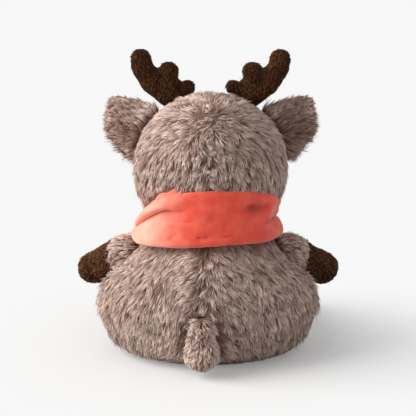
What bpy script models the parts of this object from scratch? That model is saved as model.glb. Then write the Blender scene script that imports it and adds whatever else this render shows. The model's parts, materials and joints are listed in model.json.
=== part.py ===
"""A sitting plush deer: stuffed fur covers sewn in panels, stub arms and legs with velour hooves,
ears, antlers, a tail, a weighted seat and a scarf tied in front. Metres, +Z up, facing -Y."""

import math

import bmesh
import bpy
from mathutils import Matrix, Vector

MM = 0.001

# Fabrics and clearances
FUR_WALL = 7 * MM  # long pile and its backing, as one layer
VELOUR_WALL = 2.6 * MM  # short pile and its backing
SEAM_GAP = 0.3 * MM  # between pieces that are sewn or lie together
JOINT_GAP = 0.7 * MM  # round a ball that turns in its seat
STUFFING_GAP = 0.7 * MM  # round the torso's stuffing
CUT_OVERRUN = 6 * MM  # how far a cutter runs past what it cuts

# Torso: a pear with a flat seat, open at the neck seam
TORSO_HEIGHT = 107 * MM  # floor to neck seam
TORSO_HALF_WIDTH = 88 * MM
TORSO_HALF_DEPTH = 70 * MM
NECK_RADIUS = 45 * MM  # the seam circle that the head sits on
NECK_BLEND_SHARE = 0.62  # height share above which the oval turns into the neck circle
# height, half width and half depth, as shares of the torso's own sizes
TORSO_SHARES = (
    (0.0, 0.68, 0.66),
    (0.035, 0.79, 0.77),
    (0.14, 0.91, 0.9),
    (0.36, 1.0, 1.0),
    (0.53, 0.955, 0.97),
    (0.62, 0.86, 0.935),
    (0.7, 0.73, 0.895),
    (0.8, 0.63, 0.83),
    (0.9, 0.57, 0.76),
    (1.0, 0.53, 0.67),
)
TORSO_SIDES = 26

# Weighted seat and the firm wad in the neck
PELLET_BAG_HALF_WIDTH = 50 * MM
PELLET_BAG_HALF_DEPTH = 36 * MM
PELLET_BAG_HEIGHT = 20 * MM
NECK_WAD_RADIUS = 29 * MM
NECK_WAD_DEPTH = 19 * MM

# Head
HEAD_RADIUS = 60 * MM
HEAD_FORWARD = 4 * MM  # the head's axis stands this far in front of the torso's
HEAD_SIDE = 2 * MM  # and is sewn this far to the right of it
HEAD_SIDES = 26
NECK_HOLE_RADIUS = 33 * MM

# Ears: a domed fur back and a thin lining, on a rolled root
EAR_LENGTH = 35 * MM
EAR_HALF_WIDTH = 23 * MM
EAR_ROOT_RADIUS = 5.5 * MM
EAR_LINING = 1.6 * MM
EAR_LINING_RIM = 3 * MM
EAR_STAND = 1.2 * MM  # the root's axis above the head's surface
EAR_CUP = 6 * MM  # how far the outer corners curl forward
EAR_TILT = math.radians(63)  # from straight up, out to the side
EAR_FORWARD = math.radians(11)
EAR_SLANT_SHARE = 0.23  # the upper corner stands further out than the lower
# distance out and half width, as shares of the ear's length and half width
EAR_SHARES = ((0.0, 1.0), (0.2, 0.97), (0.45, 0.87), (0.7, 0.74), (0.88, 0.62), (0.97, 0.42))

# Antlers: flattened tines with round ends
ANTLER_ROOT_RADIUS = 8 * MM
ANTLER_BEAM_RADIUS = 9 * MM
ANTLER_TIP_RADIUS = 8 * MM
ANTLER_TINE_RADIUS = 7.6 * MM
ANTLER_SPUR_RADIUS = 5.6 * MM
ANTLER_HEIGHT = 33.6 * MM  # root centre to the centre of the tip's round
ANTLER_DEPTH_SHARE = 0.86  # thickness over width
ANTLER_TILT = math.radians(28)
ANTLER_FORWARD = math.radians(11)
# places of the round ends and bends, out to the side and up, as shares of the antler's height
BEAM_BEND_SHARES = (0.57, 0.49)
BEAM_TIP_SHARES = (0.84, 1.0)
TINE_FOOT_SHARES = (0.33, 0.34)
TINE_TIP_SHARES = (0.14, 0.68)
SPUR_FOOT_SHARES = (0.12, 0.19)
SPUR_TIP_SHARES = (-0.3, 0.32)
ANTLER_BEND_INSET = 0.5 * MM  # the tip's form starts inside the beam's round end
TINE_AHEAD = 1.1 * MM  # the tine and the spur are sewn a little in front of the beam
SPUR_AHEAD = 0.6 * MM

# Face: muzzle, nose and safety eyes
MUZZLE_HALF_WIDTH = 27 * MM
MUZZLE_HALF_HEIGHT = 19 * MM
MUZZLE_HALF_DEPTH = 24 * MM
MUZZLE_DROP = math.radians(9)
NOSE_HALF_WIDTH = 9.5 * MM
NOSE_HALF_HEIGHT = 6.5 * MM
NOSE_HALF_DEPTH = 5 * MM
NOSE_RISE = math.radians(34)
EYE_RADIUS = 6.5 * MM
EYE_DOME = 3 * MM
EYE_SEAT_DEPTH = 3.5 * MM  # the flange presses the pile down to here
EYE_SHANK_RADIUS = 2.2 * MM
EYE_SHANK_LENGTH = 9 * MM
EYE_SIDE = math.radians(27)
EYE_RISE = math.radians(11)
WASHER_RADIUS = 6 * MM
WASHER_THICKNESS = 1.6 * MM

# Arms, from the centre of the shoulder's ball
ARM_ROOT_RADIUS = 17.5 * MM
ARM_HOOF_RADIUS = 13 * MM
ARM_REACH = 35 * MM  # shoulder centre to the centre of the hoof's round end
ARM_CUFF = 9 * MM  # shoulder centre to the seam between fur and hoof
ARM_HEIGHT_SHARE = 0.69
ARM_FRONT = math.radians(8)
ARM_DROP = math.radians(22)
ARM_FORWARD = math.radians(25)

# Legs, from the centre of the hip's ball
LEG_ROOT_RADIUS = 21.5 * MM
LEG_HOOF_RADIUS = 20.5 * MM
LEG_REACH = 44 * MM
LEG_CUFF = 30 * MM
LEG_FLOOR_GAP = 0.6 * MM
HIP_STAND = 3 * MM  # the hip's centre outside the torso's surface
HIP_SPREAD = math.radians(31)  # from straight ahead, round the torso
LEG_SPLAY = math.radians(13)

# Tail, hanging down the back
TAIL_ROOT_RADIUS = 9 * MM
TAIL_END_RADIUS = 12 * MM
TAIL_WALL = 5 * MM
TAIL_REACH = 20 * MM
TAIL_SIDE = math.radians(3)
TAIL_SLOPE = math.radians(4)  # from straight down, away from the torso
TAIL_FLOOR_GAP = 4.5 * MM
TAIL_STAND = 1.5 * MM

# Scarf: a wide band with its lower hem turned in, a knot in front and two short ends
SCARF_CLOTH = 1.8 * MM
SCARF_CLEAR = 0.6 * MM  # to the head, which turns inside it
SCARF_REST = 0.6 * MM  # to the torso under the turned-in hem
SCARF_SKIRT_RADIUS = 61 * MM  # the lower edge, from the head's axis
SCARF_SIDE = 3.5 * MM  # the lower edge sits this far to the left
SCARF_HEM = 2 * MM  # the turned-in hem ends this far below the neck seam
SCARF_DROP = 12.5 * MM  # lower edge below the neck seam
SCARF_FRONT_DROP = 7 * MM  # more in front
SCARF_ROUND = 3 * MM  # height of the turn at the lower edge
SCARF_FOLD = 2.2 * MM  # height of the main folds
SCARF_WAVE = 1.2 * MM  # rise and fall of the lower edge
# the upper edge below the head's centre, as shares of the head's radius
SCARF_BACK_SHARE = 0.14
SCARF_SIDE_SHARE = 0.46
SCARF_FRONT_SHARE = 0.64
SCARF_SECTIONS = 34
SCARF_ROWS = 6
KNOT_HALF_WIDTH = 13.5 * MM
KNOT_HALF_HEIGHT = 10.5 * MM
KNOT_HALF_DEPTH = 9.5 * MM
END_LENGTH = 31 * MM
END_HALF_WIDTH = 12 * MM
END_ROOT_HALF_WIDTH = 5.5 * MM
END_ROOT_RADIUS = 2.4 * MM
END_CLOTH = 2 * MM
END_FOLD = 2.6 * MM
END_SPLAY = math.radians(16)
END_SLOPE = math.radians(13)  # forward from straight down
END_SIDE_SHARE = 0.52  # place of each end's root, as a share of the knot's half width
END_MOUTH_SHARE = 0.4  # how far along an end the knot's mouth stays clear of it

# Facets
LIMB_SIDES = 12
SMALL_SIDES = 10
CAP_RINGS = 3  # rings on a round end
SWEEP_SIDES = 8
EAR_POINTS = 7  # steps across an ear
ANTLER_CORE_SIDES = 6
CORE_SIDES = 12  # the stuffing inside the covers
END_POINTS = 8  # steps across a scarf end
SWEEP_STEP = math.radians(20)  # between the places of a limb that its hollow clears

# Ranges of the seams, in degrees about each joint's own axis
ARM_BACK, ARM_AHEAD = -20, 35
LEG_UP = 30
TAIL_UP = 50
END_UP = 70

# Colours: red, green, blue, roughness
FINISHES = {
    "fur": (0.48, 0.36, 0.31, 0.95),
    "velour": (0.07, 0.035, 0.018, 0.9),
    "lining": (0.62, 0.5, 0.43, 0.9),
    "muzzle": (0.66, 0.55, 0.47, 0.9),
    "scarf": (0.8, 0.13, 0.09, 0.85),
    "filling": (0.9, 0.9, 0.88, 1.0),
    "pellets": (0.8, 0.78, 0.72, 0.9),
    "eye": (0.01, 0.01, 0.01, 0.12),
    "washer": (0.85, 0.85, 0.83, 0.5),
}

# Places worked out from the sizes
HEAD_RISE = math.sqrt(HEAD_RADIUS**2 - NECK_RADIUS**2)
HEAD_CENTRE = Vector((-HEAD_SIDE, -HEAD_FORWARD, TORSO_HEIGHT + HEAD_RISE))
UP = Vector((0, 0, 1))
BACK = Vector((0, 1, 0))


def clear_scene():
    for thing in list(bpy.data.objects):
        bpy.data.objects.remove(thing, do_unlink=True)


def material(finish):
    """The Principled material of one finish, made once."""
    found = bpy.data.materials.get(finish)
    if found:
        return found
    red, green, blue, rough = FINISHES[finish]
    made = bpy.data.materials.new(finish)
    made.use_nodes = True
    shader = made.node_tree.nodes["Principled BSDF"]
    shader.inputs["Base Color"].default_value = (red, green, blue, 1)
    shader.inputs["Roughness"].default_value = rough
    return made


def empty(name, parent, matrix):
    """A joint's place: the pieces of its body are modelled from here."""
    made = bpy.data.objects.new(name, None)
    bpy.context.scene.collection.objects.link(made)
    made.parent = parent
    made.matrix_basis = matrix
    return made


def as_object(name, bm, parent, finish=None):
    """Turns a bmesh into a named object; without a finish it is a cutter."""
    bmesh.ops.recalc_face_normals(bm, faces=bm.faces)
    mesh = bpy.data.meshes.new(name)
    bm.to_mesh(mesh)
    bm.free()
    made = bpy.data.objects.new(name, mesh)
    bpy.context.scene.collection.objects.link(made)
    made.parent = parent
    if finish:
        mesh.materials.append(material(finish))
        mesh.shade_smooth()
        mesh.set_sharp_from_angle(angle=math.radians(50))
    else:
        made.hide_render = True
        made.display_type = "WIRE"
    return made


def boolean(target, cutter, operation="DIFFERENCE"):
    step = target.modifiers.new(operation.lower(), "BOOLEAN")
    step.operation = operation
    step.object = cutter
    step.solver = "EXACT"


def join(bm, here, there):
    """Triangles between two rings, either of which may be a single point. They all slant one
    way, so that a lining made in the same steps lies even with its cover."""
    count = max(len(here), len(there))
    for k in range(count):
        a, b = here[k % len(here)], here[(k + 1) % len(here)]
        c, d = there[(k + 1) % len(there)], there[k % len(there)]
        for corners in ((a, b, c), (a, c, d)):
            if len(set(corners)) == 3:
                bm.faces.new(corners)


def loft(name, rings, parent, finish=None, closed=False):
    """One solid through rings of points. It ends in poles or flat caps, or closes on itself."""
    bm = bmesh.new()
    rows = [[bm.verts.new(point) for point in ring] for ring in rings]
    for here, there in zip(rows, rows[1:]):
        join(bm, here, there)
    if closed:
        join(bm, rows[-1], rows[0])
    else:
        for end in (rows[0], rows[-1]):
            if len(end) > 1:
                bm.faces.new(end)
    return as_object(name, bm, parent, finish)


def smoothed(rows, steps):
    """Points on a Catmull-Rom curve through rows of numbers, steps to each stretch."""
    held = [rows[0], *rows, rows[-1]]
    found = []
    for a, b, c, d in zip(held, held[1:], held[2:], held[3:]):
        for k in range(steps):
            t = k / steps
            row = []
            for p, q, r, s in zip(a, b, c, d):
                square, cube = 2 * p - 5 * q + 4 * r - s, 3 * q - p - 3 * r + s
                row.append(q + (t * (r - p) + t**2 * square + t**3 * cube) / 2)
            found.append(tuple(row))
    return [*found, rows[-1]]


def oval(half_width, half_depth, height, centre=(0.0, 0.0), sides=LIMB_SIDES):
    """A level ring, or one point where the oval has no size."""
    middle = Vector((*centre, height))
    if half_width <= 0 or half_depth <= 0:
        return [middle]
    turns = [2 * math.pi * k / sides for k in range(sides)]
    return [middle + Vector((half_width * math.cos(a), half_depth * math.sin(a), 0)) for a in turns]


def ball_rings(radius, sides, rings, low=-1.0, high=1.0):
    """Rings of a ball round the origin, from pole to pole or between two height shares."""
    first, last = math.asin(low), math.asin(high)
    found = []
    for k in range(rings + 1):
        a = first + (last - first) * k / rings
        across = 0.0 if abs(math.sin(a)) > 1 - 1e-9 else radius * math.cos(a)
        found.append(oval(across, across, radius * math.sin(a), sides=sides))
    return found


def ball(name, centre, radius, parent, finish=None, sides=HEAD_SIDES):
    made = loft(name, ball_rings(radius, sides, sides // 2), parent, finish)
    made.location = centre
    return made


def ellipsoid(name, matrix, half_sizes, parent, finish=None, sides=SMALL_SIDES, rings=8):
    """A ball stretched to three half sizes, then turned and moved."""
    unit = ball_rings(1, sides, rings)
    stretch = matrix @ Matrix.Diagonal((*half_sizes, 1))
    return loft(name, [[stretch @ point for point in ring] for ring in unit], parent, finish)


def block(name, low, high, parent):
    """A box cutter between two corners."""
    bm = bmesh.new()
    bmesh.ops.create_cube(bm, size=1)
    for corner in bm.verts:
        corner.co = Vector(high[k] if corner.co[k] > 0 else low[k] for k in range(3))
    return as_object(name, bm, parent)


def rod(name, matrix, radius, bottom, top, parent, finish=None, sides=SMALL_SIDES):
    """A plain cylinder along a frame's own Z."""
    rings = [[matrix @ point for point in oval(radius, radius, h, sides=sides)] for h in (bottom, top)]
    return loft(name, rings, parent, finish)


def frame_at(origin, along, across):
    """A frame with Z along the first direction and X as near the second as it can be."""
    z = along.normalized()
    y = z.cross(across).normalized()
    x = y.cross(z)
    turned = Matrix((x, y, z)).transposed().to_4x4()
    return Matrix.Translation(origin) @ turned


def limb_profile(root, end, reach, inset=0.0, start=None, stop=None):
    """(along, radius) of a stuffed tube with a round root and a round end, set in by inset.
    start and stop keep only the stretch between two places along it."""
    root, end = root - inset, end - inset
    points = []
    for k in range(CAP_RINGS + 1):
        a = 0.5 * math.pi * k / CAP_RINGS
        points.append((-root * math.cos(a), root * math.sin(a)))
    for k in range(1, CAP_RINGS):
        t = k / CAP_RINGS
        points.append((reach * t, root + (end - root) * t * t * (3 - 2 * t)))
    for k in range(CAP_RINGS + 1):
        a = 0.5 * math.pi * k / CAP_RINGS
        points.append((reach + end * math.sin(a), end * math.cos(a)))
    if start is not None:
        points = [at_along(points, start)] + [p for p in points if p[0] > start + SEAM_GAP]
    if stop is not None:
        points = [p for p in points if p[0] < stop - SEAM_GAP] + [at_along(points, stop)]
    return points


def at_along(points, along):
    """The profile's point at a place along it."""
    for (s, r), (s_next, r_next) in zip(points, points[1:]):
        if s <= along <= s_next:
            t = (along - s) / max(s_next - s, 1e-9)
            return (along, r + (r_next - r) * t)
    return points[-1]


def turned(name, profile, parent, finish):
    """A profile of (along, radius) turned round the parent's Z."""
    rings = []
    for along, radius in profile:
        size = 0.0 if radius < 1e-6 else radius
        rings.append(oval(size, size, along))
    return loft(name, rings, parent, finish)


def stuffed_limb(name, joint, root, end, reach, cuff, walls):
    """A fur sleeve, a velour hoof and the filling inside both, along the joint's own Z."""
    fur, velour = walls
    sleeve = limb_profile(root, end, reach, stop=cuff)
    hollow = limb_profile(root, end, reach, inset=fur, stop=cuff)
    turned(f"{name}_sleeve", sleeve + hollow[::-1], joint, "fur")
    shell = limb_profile(root, end, reach, start=cuff + SEAM_GAP)
    hollow = limb_profile(root, end, reach, inset=velour, start=cuff + SEAM_GAP)
    turned(f"{name}_hoof", hollow[::-1] + shell, joint, "velour")
    inner = limb_profile(root, end, reach, inset=fur + SEAM_GAP, stop=cuff + SEAM_GAP)
    outer = limb_profile(root, end, reach, inset=velour + SEAM_GAP, start=cuff + 2 * SEAM_GAP)
    turned(f"{name}_filling", inner + outer, joint, "filling")


# Torso


def torso_row(share):
    """Half width, half depth and the middle of the torso's ring at a height share."""
    rows = smoothed(TORSO_SHARES, 6)
    above = next((k for k, row in enumerate(rows) if row[0] >= share), len(rows) - 1)
    low, high = rows[max(above - 1, 0)], rows[above]
    t = (share - low[0]) / max(high[0] - low[0], 1e-9)
    width = (low[1] + (high[1] - low[1]) * t) * TORSO_HALF_WIDTH
    depth = (low[2] + (high[2] - low[2]) * t) * TORSO_HALF_DEPTH
    t = min(max((share - NECK_BLEND_SHARE) / (1 - NECK_BLEND_SHARE), 0), 1)
    blend = t * t * t
    width += (NECK_RADIUS - width) * blend
    depth += (NECK_RADIUS - depth) * blend
    return width, depth, (HEAD_CENTRE.x * blend, HEAD_CENTRE.y * blend)


def torso_point(share, angle):
    """A point on the torso at a height share, turned from +X towards the front."""
    width, depth, middle = torso_row(share)
    across, ahead = width * math.cos(angle), depth * math.sin(angle)
    return Vector((middle[0] + across, middle[1] - ahead, share * TORSO_HEIGHT))


def torso_rings(inset, steps, sides=TORSO_SIDES):
    """The torso's rings with every wall moved in by inset; the seat is raised by as much."""
    rings = []
    for row in smoothed(TORSO_SHARES, steps):
        width, depth, middle = torso_row(row[0])
        height = inset + row[0] * (TORSO_HEIGHT - inset)
        rings.append(oval(width - inset, depth - inset, height, middle, sides))
    return rings


def torso(root):
    """Two back panels and a belly panel, sewn round one filling."""
    span = TORSO_HALF_WIDTH + TORSO_HALF_DEPTH + TORSO_HEIGHT
    half_gap = SEAM_GAP / 2
    side_seam = shoulder_centre(1).y
    hollow = loft("torso_hollow_cutter", torso_rings(FUR_WALL, 1, CORE_SIDES), root)
    seat = ball("head_seat_cutter", HEAD_CENTRE, HEAD_RADIUS + JOINT_GAP, root)
    panels = {
        "torso_back_left": ((half_gap, side_seam + half_gap), (span, span)),
        "torso_back_right": ((-span, side_seam + half_gap), (-half_gap, span)),
        "torso_belly": ((-span, -span), (span, side_seam - half_gap)),
    }
    made = []
    for name, (low, high) in panels.items():
        panel = loft(name, torso_rings(0.0, 2), root, "fur")
        keep = block(f"{name}_keep", (*low, -span), (*high, span), root)
        boolean(panel, keep, "INTERSECT")
        boolean(panel, hollow)
        boolean(panel, seat)
        made.append(panel)
    rings = torso_rings(FUR_WALL + STUFFING_GAP, 1, CORE_SIDES)
    filling = loft("torso_filling", rings, root, "filling")
    boolean(filling, seat)
    return [*made, filling]


def pellet_bag(root, filling):
    """The weighted bag low in the seat, in a pocket of the filling that opens downwards."""
    bottom = FUR_WALL + SEAM_GAP

    def rings(grow):
        shares = ((0.0, 0.86), (0.12, 0.97), (0.45, 1.0), (0.8, 0.84), (1.0, 0.55))
        return [
            oval(
                PELLET_BAG_HALF_WIDTH * across + grow,
                PELLET_BAG_HALF_DEPTH * across + grow,
                bottom + up * PELLET_BAG_HEIGHT + (grow if up == 1 else -grow * (up == 0)),
                sides=CORE_SIDES,
            )
            for up, across in shares
        ]

    loft("pellet_bag", rings(0.0), root, "pellets")
    pocket = rings(SEAM_GAP)
    pocket.insert(0, [point - UP * CUT_OVERRUN for point in pocket[0]])
    boolean(filling, loft("pellet_bag_pocket", pocket, root))


def neck_wad(root, filling):
    """The firm plug in the neck: it turns in the torso's bore, and the head rocks on its top."""
    joint = empty("head_turn_joint", root, Matrix.Translation(HEAD_CENTRE))
    foot = -HEAD_RADIUS - NECK_WAD_DEPTH
    top = -HEAD_RADIUS + NECK_WAD_DEPTH
    wad = rod("neck_wad", Matrix.Identity(4), NECK_WAD_RADIUS, foot, top, joint, "filling", 24)
    boolean(wad, ball("neck_wad_cup", Vector(), HEAD_RADIUS + JOINT_GAP, joint))
    bore = rod(
        "neck_bore_cutter",
        Matrix.Translation(HEAD_CENTRE),
        NECK_WAD_RADIUS + JOINT_GAP,
        foot - SEAM_GAP,
        top,
        root,
        sides=24,
    )
    boolean(filling, bore)
    return joint


# Head


def head_direction(tilt, forward, side):
    """Out of the head, tilted from straight up towards a side and turned to the front."""
    return Vector(
        (side * math.sin(tilt) * math.cos(forward), -math.sin(forward), math.cos(tilt) * math.cos(forward))
    )


def head(turn_joint):
    """Two back panels and the face, sewn round one filling that fills the neck hole too."""
    joint = empty("head_nod_joint", turn_joint, Matrix.Identity(4))
    span = HEAD_RADIUS + CUT_OVERRUN
    inner = HEAD_RADIUS - FUR_WALL
    hollow = ball("head_hollow_cutter", Vector(), inner, joint, sides=CORE_SIDES)
    axis = Matrix.Identity(4)
    hole = rod("neck_hole_cutter", axis, NECK_HOLE_RADIUS, -span, -inner / 2, joint, sides=CORE_SIDES)
    half_gap = SEAM_GAP / 2
    seam = -HEAD_RADIUS * math.sin(EAR_FORWARD)
    panels = {
        "head_back_left": ((half_gap, seam + half_gap), (span, span)),
        "head_back_right": ((-span, seam + half_gap), (-half_gap, span)),
        "head_face": ((-span, -span), (span, seam - half_gap)),
    }
    made = []
    for name, (low, high) in panels.items():
        panel = ball(name, Vector(), HEAD_RADIUS, joint, "fur")
        keep = block(f"{name}_keep", (*low, -span), (*high, span), joint)
        boolean(panel, keep, "INTERSECT")
        boolean(panel, hollow)
        boolean(panel, hole)
        made.append(panel)
    filling = ball("head_filling", Vector(), inner - SEAM_GAP, joint, "filling", CORE_SIDES)
    plug = NECK_HOLE_RADIUS - SEAM_GAP
    boolean(filling, rod("neck_plug_form", axis, plug, -span, -inner / 2, joint, sides=CORE_SIDES), "UNION")
    boolean(filling, ball("head_outside_cutter", Vector(), HEAD_RADIUS, joint), "INTERSECT")
    return joint, made, filling


def muzzle(joint):
    """A velour muzzle with its own filling, and a sewn nose on top of its front."""
    ahead = Vector((0, -math.cos(MUZZLE_DROP), -math.sin(MUZZLE_DROP)))
    base = frame_at(ahead * HEAD_RADIUS, ahead, Vector((1, 0, 0)))
    half = Vector((MUZZLE_HALF_WIDTH, MUZZLE_HALF_HEIGHT, MUZZLE_HALF_DEPTH))
    wall = Vector((VELOUR_WALL,) * 3)
    gap = Vector((SEAM_GAP,) * 3)
    clear = ball("muzzle_clear_cutter", Vector(), HEAD_RADIUS + SEAM_GAP, joint)
    cover = ellipsoid("muzzle_cover", base, half, joint, "muzzle", CORE_SIDES)
    hollow = ellipsoid("muzzle_hollow_cutter", base, half - wall, joint, None, LIMB_SIDES)
    boolean(cover, hollow)
    boolean(cover, clear)
    filling = ellipsoid("muzzle_filling", base, half - wall - gap, joint, "filling", LIMB_SIDES)
    boolean(filling, clear)
    up = Vector((0, -math.sin(NOSE_RISE), math.cos(NOSE_RISE)))
    along = base.to_3x3() @ Vector((0, 0, 1))
    toward = (along * math.cos(NOSE_RISE) + up * math.sin(NOSE_RISE)).normalized()
    local = base.to_3x3().inverted() @ toward
    reach = 1 / math.sqrt(sum((local[k] / half[k]) ** 2 for k in range(3)))
    place = frame_at(base.translation + toward * reach, toward, Vector((1, 0, 0)))
    sizes = (NOSE_HALF_WIDTH, NOSE_HALF_HEIGHT, NOSE_HALF_DEPTH)
    nose = ellipsoid("nose", place, sizes, joint, "velour", LIMB_SIDES)
    boolean(nose, ellipsoid("nose_seat_cutter", base, half + gap, joint, None, CORE_SIDES))


def eye(joint, side, face, filling):
    """A domed safety eye: its shank goes through the face and into a washer behind it."""
    label = "left" if side > 0 else "right"
    level = math.cos(EYE_RISE)
    toward = Vector((side * math.sin(EYE_SIDE) * level, -math.cos(EYE_SIDE) * level, math.sin(EYE_RISE)))
    frame = frame_at(toward * HEAD_RADIUS, toward, UP)
    seat = -EYE_SEAT_DEPTH
    back = -FUR_WALL - SEAM_GAP
    tip = back - EYE_SHANK_LENGTH
    shares = ((1.0, 0.0), (1.0, 0.35), (0.8, 0.75), (0.42, 0.95), (0.0, 1.0))
    dome = [(seat + (EYE_SEAT_DEPTH + EYE_DOME) * up, EYE_RADIUS * across) for across, up in shares]
    profile = [(tip, 0.0), (tip, EYE_SHANK_RADIUS), (seat, EYE_SHANK_RADIUS), *dome]
    rings = [oval(r, r, s, sides=SMALL_SIDES) for s, r in profile]
    loft(f"eye_{label}", [[frame @ p for p in ring] for ring in rings], joint, "eye")
    hole = EYE_SHANK_RADIUS + SEAM_GAP
    ring = [(back, hole), (back, WASHER_RADIUS), (back - WASHER_THICKNESS, WASHER_RADIUS)]
    ring.append((back - WASHER_THICKNESS, hole))
    rings = [[frame @ p for p in oval(r, r, s, sides=SMALL_SIDES)] for s, r in ring]
    loft(f"eye_washer_{label}", rings, joint, "washer", closed=True)
    bed = EYE_RADIUS + SEAM_GAP
    boolean(face, rod(f"eye_bed_{label}", frame, bed, seat - SEAM_GAP, CUT_OVERRUN, joint))
    boolean(face, rod(f"eye_hole_{label}", frame, hole, back - CUT_OVERRUN, 0.0, joint))
    pocket = WASHER_RADIUS + SEAM_GAP
    deep = back - WASHER_THICKNESS - SEAM_GAP
    boolean(face, rod(f"washer_bed_{label}", frame, pocket, deep, -FUR_WALL, joint))
    boolean(filling, rod(f"washer_pocket_{label}", frame, pocket, deep, 0.0, joint))
    boolean(filling, rod(f"shank_pocket_{label}", frame, hole, tip - SEAM_GAP, 0.0, joint))


# Ears and antlers


def ear_ring(frame, out, half, front, back, rise=0.0):
    """A closed loop across the ear at a distance out along it: its back face, then its front."""
    shares = [-math.cos(math.pi * k / EAR_POINTS) for k in range(EAR_POINTS + 1)]
    lifts = [(v, back * math.sqrt(max(1 - v * v, 0))) for v in shares]
    lifts += [(v, front * math.sqrt(max(1 - v * v, 0))) for v in shares[-2:0:-1]]
    reach = max(out, 0) / EAR_LENGTH
    found = []
    for v, lift in lifts:
        side = v * half / EAR_HALF_WIDTH
        cup = EAR_CUP * reach * (side * side + reach / 2)
        along = out + EAR_SLANT_SHARE * side * max(out, 0)
        found.append(frame @ Vector((v * half, rise + lift - cup, along)))
    return found


def ear(head_joint, side, cut):
    """A cupped ear: its root is a roll that lies in a groove of the head."""
    label = "left" if side > 0 else "right"
    toward = head_direction(EAR_TILT, EAR_FORWARD, side)
    up = (UP - toward * toward.dot(UP)).normalized()
    centre = toward * (HEAD_RADIUS + EAR_STAND)
    back = toward.cross(up) * -side
    turn = Matrix((up, back, toward)).transposed().to_4x4()
    joint = empty(f"ear_{label}_joint", head_joint, Matrix.Translation(centre))
    root = EAR_ROOT_RADIUS
    rings = []
    for k in (1, 2):
        a = math.pi * k / 6
        half = EAR_HALF_WIDTH - root + root * math.sin(a)
        rings.append(ear_ring(turn, -root * math.cos(a), half, -root * math.sin(a), root * math.sin(a)))
    outline = smoothed(EAR_SHARES, 2)
    for share, across in outline:
        front = -root * max(1 - share / EAR_SHARES[1][0], 0)
        thick = root * (1 - share / 2)
        rings.append(ear_ring(turn, share * EAR_LENGTH, across * EAR_HALF_WIDTH, front, thick))
    loft(f"ear_back_{label}", rings, joint, "fur")
    rings = []
    for share, across in outline:
        if EAR_SHARES[1][0] < share < EAR_SHARES[-2][0] + EAR_SHARES[1][0] / 8:
            half = across * EAR_HALF_WIDTH - EAR_LINING_RIM
            rings.append(ear_ring(turn, share * EAR_LENGTH, half, -EAR_LINING, 0.0, -SEAM_GAP))
    loft(f"ear_lining_{label}", rings, joint, "lining")
    reach = up * (EAR_HALF_WIDTH - root)
    wide = root + JOINT_GAP
    groove = capsule(f"ear_groove_{label}", centre - reach, centre + reach, wide, wide, head_joint)
    for piece in cut:
        boolean(piece, groove)


def capsule(name, start, end, start_radius, end_radius, parent, finish=None, flat=1.0, sides=SMALL_SIDES):
    """A tapered tube with round ends between two points, thinner along the parent's Y by flat."""
    along = end - start
    frame = frame_at(start, along, BACK)
    squash = Matrix.Translation(start) @ Matrix.Diagonal((1, flat, 1, 1)) @ Matrix.Translation(-start)
    rings = []
    for s, r in limb_profile(start_radius, end_radius, along.length):
        size = r if r > 1e-9 else 0.0
        rings.append([squash @ (frame @ point) for point in oval(size, size, s, sides=sides)])
    return loft(name, rings, parent, finish)


def antler_form(name, joint, side, inset, finish, sides):
    """Beam, tine and spur joined into one solid, all set in by inset."""

    def place(shares, ahead=0.0):
        return Vector((side * shares[0] * ANTLER_HEIGHT, -ahead, shares[1] * ANTLER_HEIGHT))

    def lobe(part, start, end, start_radius, end_radius, finish=None):
        sizes = (start_radius - inset, end_radius - inset)
        return capsule(f"{name}{part}", start, end, *sizes, joint, finish, ANTLER_DEPTH_SHARE, sides)

    bend = place(BEAM_BEND_SHARES)
    whole = lobe("", Vector(), bend, ANTLER_ROOT_RADIUS, ANTLER_BEAM_RADIUS, finish)
    tine = [place(shares, TINE_AHEAD) for shares in (TINE_FOOT_SHARES, TINE_TIP_SHARES)]
    spur = [place(shares, SPUR_AHEAD) for shares in (SPUR_FOOT_SHARES, SPUR_TIP_SHARES)]
    bend_radius = ANTLER_BEAM_RADIUS - ANTLER_BEND_INSET
    lobes = (
        lobe("_tip_form", bend, place(BEAM_TIP_SHARES), bend_radius, ANTLER_TIP_RADIUS),
        lobe("_tine_form", *tine, ANTLER_TINE_RADIUS, ANTLER_TINE_RADIUS),
        lobe("_spur_form", *spur, ANTLER_SPUR_RADIUS, ANTLER_SPUR_RADIUS),
    )
    for added in lobes:
        boolean(whole, added, "UNION")
    return whole


def antler(head_joint, side, cut):
    """A velour antler round its filling, on a round root in a dimple of the head."""
    label = "left" if side > 0 else "right"
    centre = head_direction(ANTLER_TILT, ANTLER_FORWARD, side) * HEAD_RADIUS
    joint = empty(f"antler_{label}_joint", head_joint, Matrix.Translation(centre))
    cover = antler_form(f"antler_{label}", joint, side, 0.0, "velour", SMALL_SIDES)
    hollow = antler_form(f"antler_hollow_{label}", joint, side, VELOUR_WALL, None, ANTLER_CORE_SIDES)
    boolean(cover, hollow)
    mouth = ANTLER_ROOT_RADIUS / 2
    below = -ANTLER_ROOT_RADIUS - CUT_OVERRUN
    boolean(cover, rod(f"antler_mouth_{label}", Matrix.Identity(4), mouth, below, -mouth / 4, joint))
    inset = VELOUR_WALL + SEAM_GAP
    antler_form(f"antler_filling_{label}", joint, side, inset, "filling", ANTLER_CORE_SIDES)
    wide = ANTLER_ROOT_RADIUS + JOINT_GAP
    dimple = ball(f"antler_dimple_{label}", centre, wide, head_joint, sides=LIMB_SIDES)
    for piece in cut:
        boolean(piece, dimple)


# Arms, legs and tail


def limb_points(profile):
    """Points round a limb that is turned from the profile, just outside it."""
    outside = 1 / math.cos(math.pi / SWEEP_SIDES)
    points = []
    for along, radius in profile:
        size = radius * outside if radius > 1e-9 else 0.0
        points += oval(size, size, along, sides=SWEEP_SIDES)
    return points


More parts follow.
